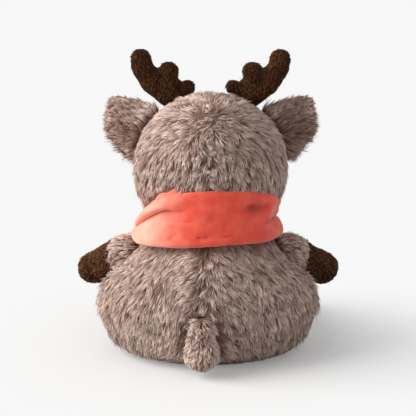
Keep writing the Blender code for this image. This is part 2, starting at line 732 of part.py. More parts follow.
def sweep_cutter(name, joint, points, axis, angles, parent, drop=0.0):
    """The space that points need as they turn about their joint, as one rounded solid.
    drop carries it on downwards, through the seat."""
    first, last = angles
    bm = bmesh.new()
    steps = max(math.ceil((last - first) / SWEEP_STEP), 1)
    for k in range(steps + 1):
        turn = Matrix.Rotation(first + (last - first) * k / steps, 4, axis)
        for point in points:
            place = joint.matrix_basis @ turn @ point
            bm.verts.new(place)
            if drop:
                bm.verts.new(place - UP * drop)
    hull = bmesh.ops.convex_hull(bm, input=bm.verts)
    spare = {*hull["geom_interior"], *hull["geom_unused"]}
    bmesh.ops.delete(bm, geom=[v for v in spare if isinstance(v, bmesh.types.BMVert)], context="VERTS")
    return as_object(name, bm, parent)


def shoulder_centre(side):
    point = torso_point(ARM_HEIGHT_SHARE, ARM_FRONT)
    return Vector((side * point.x, point.y, point.z))


def arm(root, side, cut):
    label = "left" if side > 0 else "right"
    level = math.cos(ARM_DROP)
    ahead = math.sin(ARM_FORWARD) * level
    along = Vector((side * math.cos(ARM_FORWARD) * level, -ahead, -math.sin(ARM_DROP)))
    joint = empty(f"arm_{label}_joint", root, frame_at(shoulder_centre(side), along, UP))
    sizes = (ARM_ROOT_RADIUS, ARM_HOOF_RADIUS, ARM_REACH)
    stuffed_limb(f"arm_{label}", joint, *sizes, ARM_CUFF, (FUR_WALL, VELOUR_WALL))
    clear = limb_points(limb_profile(*sizes, inset=-JOINT_GAP))
    angles = [math.radians(-side * angle) for angle in (ARM_BACK, ARM_AHEAD)]
    hole = sweep_cutter(f"armhole_{label}", joint, clear, "X", sorted(angles), root)
    for piece in cut:
        boolean(piece, hole)


def hip_centre(side):
    """The hip's ball stands a little out of the torso's front and just clears the floor."""
    height = LEG_ROOT_RADIUS + LEG_FLOOR_GAP
    ahead = math.pi / 2 - HIP_SPREAD
    point = torso_point(height / TORSO_HEIGHT, ahead)
    point += Vector((math.cos(ahead), -math.sin(ahead), 0)) * HIP_STAND
    return Vector((side * point.x, point.y, height))


def leg_direction(side):
    """Out along the leg: it lies on the floor, so it slopes by the change in its radius."""
    sink = (LEG_ROOT_RADIUS - LEG_HOOF_RADIUS) / LEG_REACH
    level = math.sqrt(1 - sink * sink)
    return Vector((side * math.sin(LEG_SPLAY) * level, -math.cos(LEG_SPLAY) * level, -sink))


def leg(root, side, cut):
    label = "left" if side > 0 else "right"
    joint = empty(f"leg_{label}_joint", root, frame_at(hip_centre(side), leg_direction(side), UP))
    sizes = (LEG_ROOT_RADIUS, LEG_HOOF_RADIUS, LEG_REACH)
    stuffed_limb(f"leg_{label}", joint, *sizes, LEG_CUFF, (FUR_WALL, VELOUR_WALL))
    clear = limb_points(limb_profile(*sizes, inset=-JOINT_GAP))
    angles = (0.0, math.radians(LEG_UP))
    hole = sweep_cutter(f"leghole_{label}", joint, clear, "Y", angles, root, CUT_OVERRUN)
    for piece in cut:
        boolean(piece, hole)


def tail_centre():
    height = TAIL_END_RADIUS + TAIL_FLOOR_GAP + TAIL_REACH * math.cos(TAIL_SLOPE)
    behind = torso_point(height / TORSO_HEIGHT, TAIL_SIDE - math.pi / 2)
    return Vector((behind.x, behind.y + TAIL_STAND, height))


def tail(root, cut):
    """A stub tail that hangs from the back seam almost to the floor."""
    along = Vector((0, math.sin(TAIL_SLOPE), -math.cos(TAIL_SLOPE)))
    joint = empty("tail_joint", root, frame_at(tail_centre(), along, Vector((1, 0, 0))))
    sizes = (TAIL_ROOT_RADIUS, TAIL_END_RADIUS, TAIL_REACH)
    outer = limb_profile(*sizes)
    inner = limb_profile(*sizes, inset=TAIL_WALL)
    mouth, inner_mouth = -TAIL_ROOT_RADIUS / 2, -(TAIL_ROOT_RADIUS - TAIL_WALL) / 2
    outer = [at_along(outer, mouth)] + [p for p in outer if p[0] > mouth + SEAM_GAP]
    inner = [at_along(inner, inner_mouth)] + [p for p in inner if p[0] > inner_mouth + SEAM_GAP]
    turned("tail_cover", outer[::-1] + inner, joint, "fur")
    filling = limb_profile(*sizes, inset=TAIL_WALL + SEAM_GAP)
    turned("tail_filling", filling, joint, "filling")
    clear = limb_points(limb_profile(*sizes, inset=-JOINT_GAP))
    hole = sweep_cutter("tail_hole", joint, clear, "X", (0.0, math.radians(TAIL_UP)), root)
    for piece in cut:
        boolean(piece, hole)


# Scarf


def torso_reach(height, angle):
    """Out from the head's axis to the torso at a height, at an angle from +X to the back."""
    width, depth, middle = torso_row(height / TORSO_HEIGHT)
    start = ((HEAD_CENTRE.x - middle[0]) / width, (HEAD_CENTRE.y - middle[1]) / depth)
    way = (math.cos(angle) / width, math.sin(angle) / depth)
    a = way[0] ** 2 + way[1] ** 2
    b = 2 * (way[0] * start[0] + way[1] * start[1])
    c = start[0] ** 2 + start[1] ** 2 - 1
    return (-b + math.sqrt(b * b - 4 * a * c)) / (2 * a)


def off_torso(height, angle, away):
    """As torso_reach, but to a surface that lies away from the torso's."""
    slope = torso_reach(height - SEAM_GAP, angle) - torso_reach(height + SEAM_GAP, angle)
    return torso_reach(height, angle) + away * math.hypot(1, slope / (2 * SEAM_GAP))


def scarf_levels(angle):
    """Heights of the scarf's upper and lower edge at an angle from +X to the back."""
    back, front = max(math.sin(angle), 0) ** 2, max(-math.sin(angle), 0) ** 2
    share = SCARF_BACK_SHARE * back + SCARF_FRONT_SHARE * front + SCARF_SIDE_SHARE * math.cos(angle) ** 2
    wave = SCARF_WAVE * math.sin(5 * angle)
    low = TORSO_HEIGHT - SCARF_DROP - SCARF_FRONT_DROP * front + wave
    return HEAD_CENTRE.z - share * HEAD_RADIUS, low


def scarf_path(angle):
    """Middle of the cloth across the band as (out, height): hem, turn, then the outer face."""
    half = SCARF_CLOTH / 2
    top, low = scarf_levels(angle)
    hem = TORSO_HEIGHT - SCARF_HEM
    lie = SCARF_REST + half
    path = []
    for k in range(3):
        height = hem + (low + SCARF_ROUND - hem) * k / 2
        path.append((off_torso(height, angle, lie), height))
    skirt = SCARF_SKIRT_RADIUS + SCARF_SIDE * math.cos(angle)
    inner = path[-1][0]
    path.append((inner + (skirt - inner) / 3, low + half / 2))
    path.append((skirt - (skirt - inner) / 3, low + half / 4))
    hug = HEAD_RADIUS + SCARF_CLEAR + half
    top_out = math.sqrt(hug**2 - (HEAD_CENTRE.z - top) ** 2)
    start = low + SCARF_ROUND
    for k in range(SCARF_ROWS + 1):
        u = k / SCARF_ROWS
        height = start + (top - start) * u
        straight = skirt + (top_out - skirt) * u
        round_head = math.sqrt(hug**2 - (HEAD_CENTRE.z - height) ** 2)
        shoulder = off_torso(min(height, hem), angle, lie)
        fold = SCARF_FOLD * math.sin(math.pi * u) * (1 + math.sin(3 * math.pi * u + 2 * angle)) / 2
        path.append((max(straight, round_head, shoulder) + fold, height))
    return path


def thickened(path, half):
    """The closed outline of a line of points that is given a thickness both ways."""
    sides = ([], [])
    for k, (x, y) in enumerate(path):
        x_before, y_before = path[max(k - 1, 0)]
        x_after, y_after = path[min(k + 1, len(path) - 1)]
        dx, dy = x_after - x_before, y_after - y_before
        size = math.hypot(dx, dy)
        for side, sign in zip(sides, (1, -1)):
            side.append((x - sign * half * dy / size, y + sign * half * dx / size))
    return sides[0] + sides[1][::-1]


def round_neck(angle, outline):
    """An outline of (out, height) set at its angle round the head's axis."""
    way = Vector((math.cos(angle), math.sin(angle), 0))
    axis = Vector((HEAD_CENTRE.x, HEAD_CENTRE.y, 0))
    return [axis + way * out + UP * height for out, height in outline]


def scarf(root):
    """The band, the knot on its front and two ends that hang from the knot on their cloth."""
    turns = [2 * math.pi * k / SCARF_SECTIONS for k in range(SCARF_SECTIONS)]
    half = SCARF_CLOTH / 2
    rings = [round_neck(a, thickened(scarf_path(a), half)) for a in turns]
    loft("scarf_wrap", rings, root, "scarf", closed=True)
    rings = []
    for a in turns:
        outline = thickened(scarf_path(a), half + SEAM_GAP)
        count = len(outline) // 2
        outer = outline[count:]
        outer += [(outline[3][0] / 2, outer[-1][1]), (outline[3][0] / 2, outer[0][1])]
        rings.append(round_neck(a, outer))
    seat = loft("knot_seat_cutter", rings, root, closed=True)
    low = scarf_levels(-math.pi / 2)[1]
    out = SCARF_SKIRT_RADIUS + KNOT_HALF_DEPTH / 2
    centre = Vector((HEAD_CENTRE.x, HEAD_CENTRE.y - out, low + KNOT_HALF_HEIGHT / 2))
    halves = (KNOT_HALF_WIDTH, KNOT_HALF_DEPTH, KNOT_HALF_HEIGHT)
    knot = ellipsoid("scarf_knot", Matrix.Translation(centre), halves, root, "scarf", LIMB_SIDES)
    boolean(knot, seat)
    for side in (1, -1):
        boolean(knot, scarf_end(root, side, centre))


def scarf_end(root, side, knot_centre):
    """One end: a gathered root that turns in the knot, opening to a folded, flared flap."""
    label = "left" if side > 0 else "right"
    share = END_SIDE_SHARE
    drop = KNOT_HALF_HEIGHT * math.sqrt(1 - share * share)
    place = knot_centre + Vector((side * share * KNOT_HALF_WIDTH, 0, -drop))
    down = Vector((0, -math.sin(END_SLOPE), -math.cos(END_SLOPE)))
    joint = empty(f"scarf_end_{label}_joint", root, frame_at(place, down, Vector((1, 0, 0))))
    shares = [-math.cos(math.pi * k / END_POINTS) for k in range(END_POINTS + 1)]

    def ring(along, half_width, thick, fold):
        """A loop across the end: one fold deep in the middle, and round edges."""
        loop = []
        aside = side * math.tan(END_SPLAY) * max(along, 0)
        for turn, sign in ((shares, 1), (shares[::-1], -1)):
            for v in turn[:-1]:
                rise = sign * thick * math.sqrt(max(1 - v**4, 0)) + fold * math.cos(math.pi * v)
                loop.append(Vector((aside + v * half_width, rise, along)))
        return loop

    def flap(grow):
        """The end's loops from its root down, all thicker and wider by grow."""
        root_radius = END_ROOT_RADIUS
        rings = []
        for k in (1, 2, 3):
            a = math.pi * k / 6
            size = root_radius * math.sin(a) + grow
            rings.append(ring(-(root_radius + grow) * math.cos(a), END_ROOT_HALF_WIDTH + grow, size, 0.0))
        for k in range(1, END_POINTS + 1):
            u = k / END_POINTS
            wide = END_ROOT_HALF_WIDTH + (END_HALF_WIDTH - END_ROOT_HALF_WIDTH) * u ** (1 / 2)
            thick = root_radius + (END_CLOTH / 2 - root_radius) * min(2 * u, 1)
            fold = END_FOLD * math.sin(math.pi * u) / 2
            rings.append(ring(END_LENGTH * u, wide + grow, thick + grow, fold))
        return rings

    loft(f"scarf_end_{label}", flap(0.0), joint, "scarf")
    near = [point for loop in flap(SEAM_GAP) for point in loop if point.z < END_LENGTH * END_MOUTH_SHARE]
    return sweep_cutter(f"scarf_end_mouth_{label}", joint, near, "X", (math.radians(-END_UP), 0.0), root)


def middle_of_depth():
    """Half way between the front of the hooves and the back of the tail, along Y."""
    front = hip_centre(1).y + leg_direction(1).y * LEG_REACH - LEG_HOOF_RADIUS
    back = tail_centre().y + TAIL_REACH * math.sin(TAIL_SLOPE) + TAIL_END_RADIUS
    return (front + back) / 2


def main():
    clear_scene()
    root = empty("plush_deer", None, Matrix.Translation((0, -middle_of_depth(), 0)))
    back_left, back_right, belly, stuffing = torso(root)
    pellet_bag(root, stuffing)
    turn_joint = neck_wad(root, stuffing)
    head_joint, panels, filling = head(turn_joint)
    muzzle(head_joint)
    for side in (1, -1):
        eye(head_joint, side, panels[-1], filling)
        ear(head_joint, side, panels)
        antler(head_joint, side, [*panels, filling])
        arm(root, side, (back_left if side > 0 else back_right, belly, stuffing))
        leg(root, side, (belly, stuffing))
    tail(root, (back_left, back_right, stuffing))
    scarf(root)


main()
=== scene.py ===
"""A sitting plush deer, dressed: fur in tufts, velour antlers and hooves, and a folded scarf."""

import json
import math
from dataclasses import dataclass

import bmesh
import bpy
import numpy as np
from mathutils import Matrix, Vector, kdtree, noise
from mathutils.bvhtree import BVHTree

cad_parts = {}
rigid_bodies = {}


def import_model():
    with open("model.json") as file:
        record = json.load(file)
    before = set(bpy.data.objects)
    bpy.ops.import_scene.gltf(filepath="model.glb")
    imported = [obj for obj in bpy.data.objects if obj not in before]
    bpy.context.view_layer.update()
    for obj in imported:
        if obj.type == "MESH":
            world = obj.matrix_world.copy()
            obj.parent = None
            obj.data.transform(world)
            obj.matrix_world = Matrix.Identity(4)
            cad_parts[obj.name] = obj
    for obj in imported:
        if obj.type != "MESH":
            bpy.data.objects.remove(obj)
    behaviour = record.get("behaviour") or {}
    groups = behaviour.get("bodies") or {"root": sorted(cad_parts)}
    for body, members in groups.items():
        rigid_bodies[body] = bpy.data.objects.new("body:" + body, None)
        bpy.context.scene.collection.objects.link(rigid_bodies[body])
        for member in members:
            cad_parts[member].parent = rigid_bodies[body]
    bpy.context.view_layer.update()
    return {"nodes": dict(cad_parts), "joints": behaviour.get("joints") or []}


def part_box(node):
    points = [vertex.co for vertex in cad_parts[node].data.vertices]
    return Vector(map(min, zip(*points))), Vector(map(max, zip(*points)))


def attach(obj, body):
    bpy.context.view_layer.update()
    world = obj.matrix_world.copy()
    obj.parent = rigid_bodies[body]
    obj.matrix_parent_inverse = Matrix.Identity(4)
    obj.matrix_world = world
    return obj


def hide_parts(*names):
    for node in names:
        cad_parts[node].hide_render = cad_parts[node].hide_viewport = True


for thing in list(bpy.data.objects):
    bpy.data.objects.remove(thing, do_unlink=True)

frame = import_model()

MM = 0.001
NODES = frame["nodes"]
JOINTS = {joint["name"]: Vector(joint["pos_m"]) for joint in frame["joints"]}
UP = Vector((0, 0, 1))
SIDES = (("left", 1), ("right", -1))

# The deer's main forms, which the covers and the pile follow
HEAD = JOINTS["head_turn"]
HEAD_RADIUS = 60 * MM
TORSO_AXIS = Vector((0, HEAD.y + 4 * MM, 0))
TORSO_HEIGHT = 107 * MM
TORSO_HALF_WIDTH = 88 * MM
TORSO_HALF_DEPTH = 70 * MM
NECK_RADIUS = 45 * MM
NECK_BLEND_SHARE = 0.62
# height, half width and half depth of the body's rings, as shares of its sizes
TORSO_SHARES = np.array((
    (0.0, 0.68, 0.66), (0.035, 0.79, 0.77), (0.14, 0.91, 0.9), (0.36, 1.0, 1.0), (0.53, 0.955, 0.97),
    (0.62, 0.86, 0.935), (0.7, 0.73, 0.895), (0.8, 0.63, 0.83), (0.9, 0.57, 0.76), (1.0, 0.53, 0.67),
))
FUR_WALL = 7 * MM
VELOUR_WALL = 2.6 * MM

# Limbs: radius at the root and at the end, reach between them, and the seam where the fur stops
ARM_SIZES = (17.5 * MM, 13 * MM, 35 * MM)
ARM_CUFF = 9 * MM
LEG_SIZES = (21.5 * MM, 20.5 * MM, 44 * MM)
LEG_CUFF = 30 * MM
TAIL_SIZES = (9 * MM, 12 * MM, 20 * MM)
TAIL_WALL = 5 * MM
ARM_FORWARD = math.radians(25)
ARM_DROP = math.radians(22)
LEG_SPLAY = math.radians(13)
LEG_FLOOR_GAP = 0.6 * MM
TAIL_SLOPE = math.radians(4)

rng = np.random.default_rng(7)


# Small helps with arrays


def unit(v):
    return v / np.maximum(np.linalg.norm(v, axis=-1, keepdims=True), 1e-9)


def step(low, high, x):
    """Rises smoothly from 0 at low to 1 at high."""
    t = np.clip((x - low) / (high - low), 0, 1)
    return t * t * (3 - 2 * t)


def hump(x, middle, half):
    """A smooth hump of height 1 round a middle."""
    return np.exp(-(((x - middle) / half) ** 2))


def wander(points, size, seed):
    """Smooth noise at points, about -1 to 1, in patches of the given size."""
    offset = Vector((seed * 3.7, seed * 1.3, -seed * 2.1))
    return np.array([noise.noise(Vector(p) / size + offset) for p in points]) * 1.6


def bulge(p):
    """How far out a point lies in the body's rings: 1 on its surface."""
    share = np.clip(p[..., 2] / TORSO_HEIGHT, 0, 1)
    width = np.interp(share, TORSO_SHARES[:, 0], TORSO_SHARES[:, 1]) * TORSO_HALF_WIDTH
    depth = np.interp(share, TORSO_SHARES[:, 0], TORSO_SHARES[:, 2]) * TORSO_HALF_DEPTH
    t = np.clip((share - NECK_BLEND_SHARE) / (1 - NECK_BLEND_SHARE), 0, 1) ** 3
    width = width + (NECK_RADIUS - width) * t
    depth = depth + (NECK_RADIUS - depth) * t
    x = (p[..., 0] - HEAD.x * t) / width
    y = (p[..., 1] - TORSO_AXIS.y - (HEAD.y - TORSO_AXIS.y) * t) / depth
    return np.hypot(x, y)


def bulge_normals(p):
    reach = 1.5 * MM
    return unit(np.stack([bulge(p + d) - bulge(p - d) for d in np.eye(3) * reach], axis=1))


def head_normals(p):
    return unit(p - np.array(HEAD))


def head_out(p):
    """How far points lie outside the head's round surface."""
    return np.linalg.norm(p - np.array(HEAD), axis=1) - HEAD_RADIUS


def limb_place(p, root, way):
    """How far along a limb's line each point lies, and how far out from the line."""
    q = p - np.array(root)
    along = q @ np.array(way)
    return along, np.linalg.norm(q - along[:, None] * np.array(way), axis=1)


def off_limb(p, root, way, reach):
    """From the nearest place on a limb's line to each point."""
    along = (p - np.array(root)) @ np.array(way)
    return p - (np.array(root) + np.clip(along, 0, reach)[:, None] * np.array(way))


# Finishes


def finish(name, rough, sheen=0.0, sheen_tint=(1, 1, 1), specular=0.2):
    """A new Principled finish and its node tree."""
    made = bpy.data.materials.new(name)
    made.use_nodes = True
    shader = made.node_tree.nodes["Principled BSDF"]
    shader.inputs["Roughness"].default_value = rough
    shader.inputs["Specular IOR Level"].default_value = specular
    shader.inputs["Sheen Weight"].default_value = sheen
    shader.inputs["Sheen Roughness"].default_value = 0.5
    shader.inputs["Sheen Tint"].default_value = (*sheen_tint, 1)
    return made, made.node_tree, shader


def ramp(tree, source, stops):
    """A colour ramp of (place, colour) stops on a value."""
    node = tree.nodes.new("ShaderNodeValToRGB")
    scale = node.color_ramp
    while len(scale.elements) < len(stops):
        scale.elements.new(0.5)
    for element, (place, colour) in zip(scale.elements, stops):
        element.position = place
        element.color = (*colour, 1)
    tree.links.new(source, node.inputs["Fac"])
    return node.outputs["Color"]


def mix(tree, share, low, high):
    """One colour turning into another by a share."""
    node = tree.nodes.new("ShaderNodeMix")
    node.data_type = "RGBA"
    tree.links.new(share, node.inputs["Factor"])
    tree.links.new(low, node.inputs[6])
    tree.links.new(high, node.inputs[7])
    return node.outputs[2]


def own_place(tree):
    """Places in the object's own space."""
    return tree.nodes.new("ShaderNodeTexCoord").outputs["Object"]


def ranged(tree, source, low, high, start=0.0, end=1.0, kind="SMOOTHSTEP"):
    """A value that goes from start to end as its source goes from low to high."""
    node = tree.nodes.new("ShaderNodeMapRange")
    node.interpolation_type = kind
    node.inputs["From Min"].default_value = low
    node.inputs["From Max"].default_value = high
    node.inputs["To Min"].default_value = start
    node.inputs["To Max"].default_value = end
    tree.links.new(source, node.inputs["Value"])
    return node.outputs["Result"]


def product(tree, first, second):
    """One value times another."""
    node = tree.nodes.new("ShaderNodeMath")
    node.operation = "MULTIPLY"
    tree.links.new(first, node.inputs[0])
    tree.links.new(second, node.inputs[1])
    return node.outputs["Value"]


def length_of(tree, vector):
    node = tree.nodes.new("ShaderNodeVectorMath")
    node.operation = "LENGTH"
    tree.links.new(vector, node.inputs[0])
    return node.outputs["Value"]


def grain(tree, size, detail=3.0):
    """Noise in patches of about a size, on the object's own coordinates."""
    texture = tree.nodes.new("ShaderNodeTexNoise")
    texture.inputs["Scale"].default_value = 1 / size
    texture.inputs["Detail"].default_value = detail
    tree.links.new(own_place(tree), texture.inputs["Vector"])
    return texture.outputs["Fac"]


def bump(tree, shader, height, depth, strength=1.0):
    node = tree.nodes.new("ShaderNodeBump")
    node.inputs["Strength"].default_value = strength
    node.inputs["Distance"].default_value = depth
    tree.links.new(height, node.inputs["Height"])
    if shader.inputs["Normal"].links:
        tree.links.new(shader.inputs["Normal"].links[0].from_socket, node.inputs["Normal"])
    tree.links.new(node.outputs["Normal"], shader.inputs["Normal"])


def pile_finish(name, dark, light, sheen, sheen_tint, specular):
    """Pile whose colour follows each strand: u is the strand's tone and v the way along it."""
    made, tree, shader = finish(name, 0.85, sheen, sheen_tint, specular)
    uv = tree.nodes.new("ShaderNodeUVMap")
    uv.uv_map = "OFBake"
    parts = tree.nodes.new("ShaderNodeSeparateXYZ")
    tree.links.new(uv.outputs["UV"], parts.inputs["Vector"])
    low = ramp(tree, parts.outputs["Y"], dark)
    high = ramp(tree, parts.outputs["Y"], light)
    tree.links.new(mix(tree, parts.outputs["X"], low, high), shader.inputs["Base Color"])
    return made


RIB_WIDTH = 0.9 * MM
# where the scarf's painted sheen, pale on its lit left, begins and where it is full, across the deer and from
# front to back
PAINTED_SHEEN_FROM_RIGHT_TO_LEFT = (8 * MM, 58 * MM)
PAINTED_SHEEN_FROM_FRONT_TO_BACK = (-60 * MM, 5 * MM)
# where painted shade darkens the scarf's hollows on the deer's right: middle, half widths, how much
PAINTED_SHADE_SPOTS = (
    ((-36 * MM, 60 * MM, 125.5 * MM), (14 * MM, 40 * MM, 8 * MM), 0.66),
    ((-50 * MM, 45 * MM, 112.5 * MM), (9 * MM, 40 * MM, 4.4 * MM), 0.95),
)


def spot(tree, middle, half, most):
    """A soft spot in the object's own space: most at its middle, 0 from its rim on."""
    mapping = tree.nodes.new("ShaderNodeMapping")
    mapping.vector_type = "TEXTURE"
    mapping.inputs["Location"].default_value = middle
    mapping.inputs["Scale"].default_value = half
    tree.links.new(own_place(tree), mapping.inputs["Vector"])
    return ranged(tree, length_of(tree, mapping.outputs["Vector"]), 0.1, 1, most, 0)


def cloth_finish():
    """Coral brushed jersey: fine ribs on its own UV map, soft mottling, a painted pale sheen where the light
    falls on its left and painted shade in hollows on its right.
    """
    made, tree, shader = finish("coral_jersey", 0.9, 0.45, (1.0, 0.84, 0.78), 0.1)
    shades = grain(tree, 11 * MM)
    colour = ramp(tree, shades, (
        (0.3, (0.72, 0.068, 0.04)), (0.55, (0.8, 0.095, 0.06)), (0.8, (0.88, 0.14, 0.095)),
    ))
    sides = tree.nodes.new("ShaderNodeSeparateXYZ")
    tree.links.new(own_place(tree), sides.inputs["Vector"])
    # painted sheen: the colour turns paler towards the deer's left and back, where the light falls
    to_left = ranged(tree, sides.outputs["X"], *PAINTED_SHEEN_FROM_RIGHT_TO_LEFT)
    to_back = ranged(tree, sides.outputs["Y"], *PAINTED_SHEEN_FROM_FRONT_TO_BACK)
    painted_sheen = ramp(tree, shades, ((0.3, (0.84, 0.29, 0.2)), (0.75, (0.88, 0.42, 0.32))))
    colour = mix(tree, product(tree, to_left, to_back), colour, painted_sheen)
    # painted shade: darker colour in soft spots over the hollows on the deer's right
    painted_shade = ramp(tree, shades, ((0.3, (0.36, 0.022, 0.013)), (0.75, (0.46, 0.04, 0.024))))
    for middle, half, most in PAINTED_SHADE_SPOTS:
        colour = mix(tree, spot(tree, middle, half, most), colour, painted_shade)
    tree.links.new(colour, shader.inputs["Base Color"])
    uv = tree.nodes.new("ShaderNodeUVMap")
    uv.uv_map = "cloth"
    ribs = tree.nodes.new("ShaderNodeTexWave")
    ribs.wave_profile = "SIN"
    ribs.inputs["Scale"].default_value = 1 / (3.1 * RIB_WIDTH)
    ribs.inputs["Distortion"].default_value = 0.6
    tree.links.new(uv.outputs["UV"], ribs.inputs["Vector"])
    bump(tree, shader, ribs.outputs["Fac"], 0.08 * MM, 0.5)
    bump(tree, shader, grain(tree, 0.7 * MM, 2.0), 0.16 * MM, 0.8)
    return made


def plain_finish(name, low, high, size, rough, depth, specular=0.2, sheen=0.0):
    """Two shades in patches of a size, with a matching surface."""
    made, tree, shader = finish(name, rough, sheen, specular=specular)
    patches = grain(tree, size)
    tree.links.new(ramp(tree, patches, ((0.35, low), (0.65, high))), shader.inputs["Base Color"])
    bump(tree, shader, patches, depth)
    return made


# colours of a pile's darkest and lightest strands, from root (0) to tip (1)
FUR = pile_finish(
    "taupe_long_pile",
    (
        (0.0, (0.045, 0.022, 0.016)), (0.3, (0.15, 0.082, 0.06)),
        (0.7, (0.32, 0.195, 0.15)), (1.0, (0.42, 0.27, 0.215)),
    ),
    (
        (0.0, (0.2, 0.115, 0.088)), (0.3, (0.6, 0.4, 0.33)),
        (0.7, (0.95, 0.76, 0.67)), (1.0, (0.99, 0.88, 0.81)),
    ),
    0.15, (1.0, 0.82, 0.74), 0.1,
)
VELOUR = pile_finish(
    "brown_short_pile",
    ((0.0, (0.012, 0.004, 0.0015)), (0.6, (0.045, 0.016, 0.007)), (1.0, (0.11, 0.045, 0.02))),
    ((0.0, (0.03, 0.011, 0.004)), (0.6, (0.17, 0.07, 0.031)), (1.0, (0.42, 0.2, 0.1))),
    0.05, (1.0, 0.7, 0.5), 0.03,
)
CREAM = pile_finish(
    "cream_short_pile",
    ((0.0, (0.5, 0.37, 0.29)), (1.0, (0.76, 0.62, 0.51))),
    ((0.0, (0.6, 0.46, 0.37)), (1.0, (0.92, 0.8, 0.7))),
    0.15, (1.0, 0.9, 0.82), 0.1,
)
CORAL = cloth_finish()
FIBRE = plain_finish(
    "polyester_filling", (0.7, 0.69, 0.66), (0.92, 0.91, 0.89),
    size=3 * MM, rough=0.95, depth=0.8 * MM, sheen=0.3,
)
PELLETS = plain_finish(
    "pellet_bag_cotton", (0.55, 0.52, 0.46), (0.7, 0.67, 0.6),
    size=1.2 * MM, rough=0.9, depth=0.4 * MM,
)
WASHER = plain_finish(
    "white_nylon", (0.72, 0.72, 0.7), (0.8, 0.8, 0.78),
    size=2 * MM, rough=0.4, depth=0.02 * MM, specular=0.5,
)
EYE = plain_finish(
    "black_gloss", (0.003, 0.0025, 0.002), (0.006, 0.005, 0.004),
    size=3 * MM, rough=0.06, depth=0.001 * MM, specular=0.4,
)
THREAD = plain_finish(
    "dark_thread", (0.02, 0.009, 0.005), (0.05, 0.025, 0.015),
    size=0.6 * MM, rough=0.7, depth=0.06 * MM,
)


# Skins and pile


def arrays(mesh):
    """Corner places and vertex normals of a mesh's triangles, as two (n, 3, 3) arrays."""
    mesh.calc_loop_triangles()
    places = np.empty(len(mesh.vertices) * 3, np.float32)
    normals = np.empty(len(mesh.vertices) * 3, np.float32)
    faces = np.empty(len(mesh.loop_triangles) * 3, np.int32)
    mesh.vertices.foreach_get("co", places)
    mesh.vertices.foreach_get("normal", normals)
    mesh.loop_triangles.foreach_get("vertices", faces)
    faces = faces.reshape(-1, 3)
    return places.reshape(-1, 3)[faces].astype(float), normals.reshape(-1, 3)[faces].astype(float)


def scatter(corners, normals, per_mm2):
    """Random places on triangles, so many to the square millimetre, with smooth and flat normals."""
    cross = np.cross(corners[:, 1] - corners[:, 0], corners[:, 2] - corners[:, 0])
    area = np.linalg.norm(cross, axis=1) / 2
    count = int(area.sum() * 1e6 * per_mm2)
    pick = rng.choice(len(area), count, p=area / area.sum())
    a, b = rng.random(count), rng.random(count)
    fold = a + b > 1
    a[fold], b[fold] = 1 - a[fold], 1 - b[fold]
    weights = np.stack([1 - a - b, a, b], axis=1)[:, :, None]
    return (corners[pick] * weights).sum(1), unit((normals[pick] * weights).sum(1)), unit(cross[pick])


def strands(roots, normals, comb, length, width, lift, tone, tufts, wave=0.0, gather=0.7, joints=5):
    """Tapered three-sided strands that rise from their roots, lie over along the comb and close
    up into tufts. Gives their vertices, quads, triangles and (tone, along) for each corner."""
    count = len(roots)
    comb = unit(comb - normals * (comb * normals).sum(1, keepdims=True))
    side = np.cross(normals, comb)
    along = np.linspace(0, 1, joints)
    rise = lift[:, None] * (along - 0.6 * along**2) + 0.08 * along
    places = roots[:, None, :] + length[:, None, None] * (
        comb[:, None, :] * (along * (1 - 0.12 * along))[None, :, None]
        + normals[:, None, :] * rise[:, :, None]
    )
    centre, phase = tufts
    pull = centre - roots
    pull -= normals * (pull * normals).sum(1, keepdims=True)
    places += pull[:, None, :] * (gather * along**1.2)[None, :, None]
    swing = np.sin(phase[:, None] + 5.0 * along[None, :]) - np.sin(phase)[:, None]
    places += side[:, None, :] * (wave[:, None] * swing * along[None, :])[:, :, None]
    taper = np.interp(along, (0, 0.25, 0.5, 0.75, 1), (0.75, 1.0, 0.9, 0.6, 0))
    thick = width[:, None] * taper[None, :]
    turn = rng.random(count) * 2 * math.pi
    rings = []
    for k in range(3):
        a = turn + 2 * math.pi * k / 3
        way = side * np.cos(a)[:, None] + normals * np.sin(a)[:, None] * 0.7
        rings.append(places[:, :-1] + way[:, None, :] * thick[:, :-1, None] / 2)
    body = np.stack(rings, axis=2)
    vertices = np.concatenate([body.reshape(count, -1, 3), places[:, -1:, :]], axis=1)
    last = (joints - 2) * 3
    quads, triangles = [], [(2, 1, 0)]
    for k in range(3):
        n = (k + 1) % 3
        quads += [(r + k, r + n, r + 3 + n, r + 3 + k) for r in range(0, last, 3)]
        triangles.append((last + k, last + n, last + 3))
    quads, triangles = np.array(quads), np.array(triangles)
    level = np.append(np.repeat(along[:-1], 3), 1.0)
    spread = np.array([0.0, 0.5, 1.0, 0.5])
    shift = np.arange(count)[:, None, None] * vertices.shape[1]

    def uv(faces):
        v = np.broadcast_to(level[faces][None], (count, *faces.shape))
        u = tone[:, None, None] + 0.02 * spread[: faces.shape[1]] + 0 * v
        return np.stack([np.clip(u, 0.005, 0.995), 0.01 + 0.98 * v], axis=-1).reshape(-1, 2)

    return (
        vertices.reshape(-1, 3),
        (quads[None] + shift).reshape(-1, 4),
        (triangles[None] + shift).reshape(-1, 3),
        uv(quads),
        uv(triangles),
    )


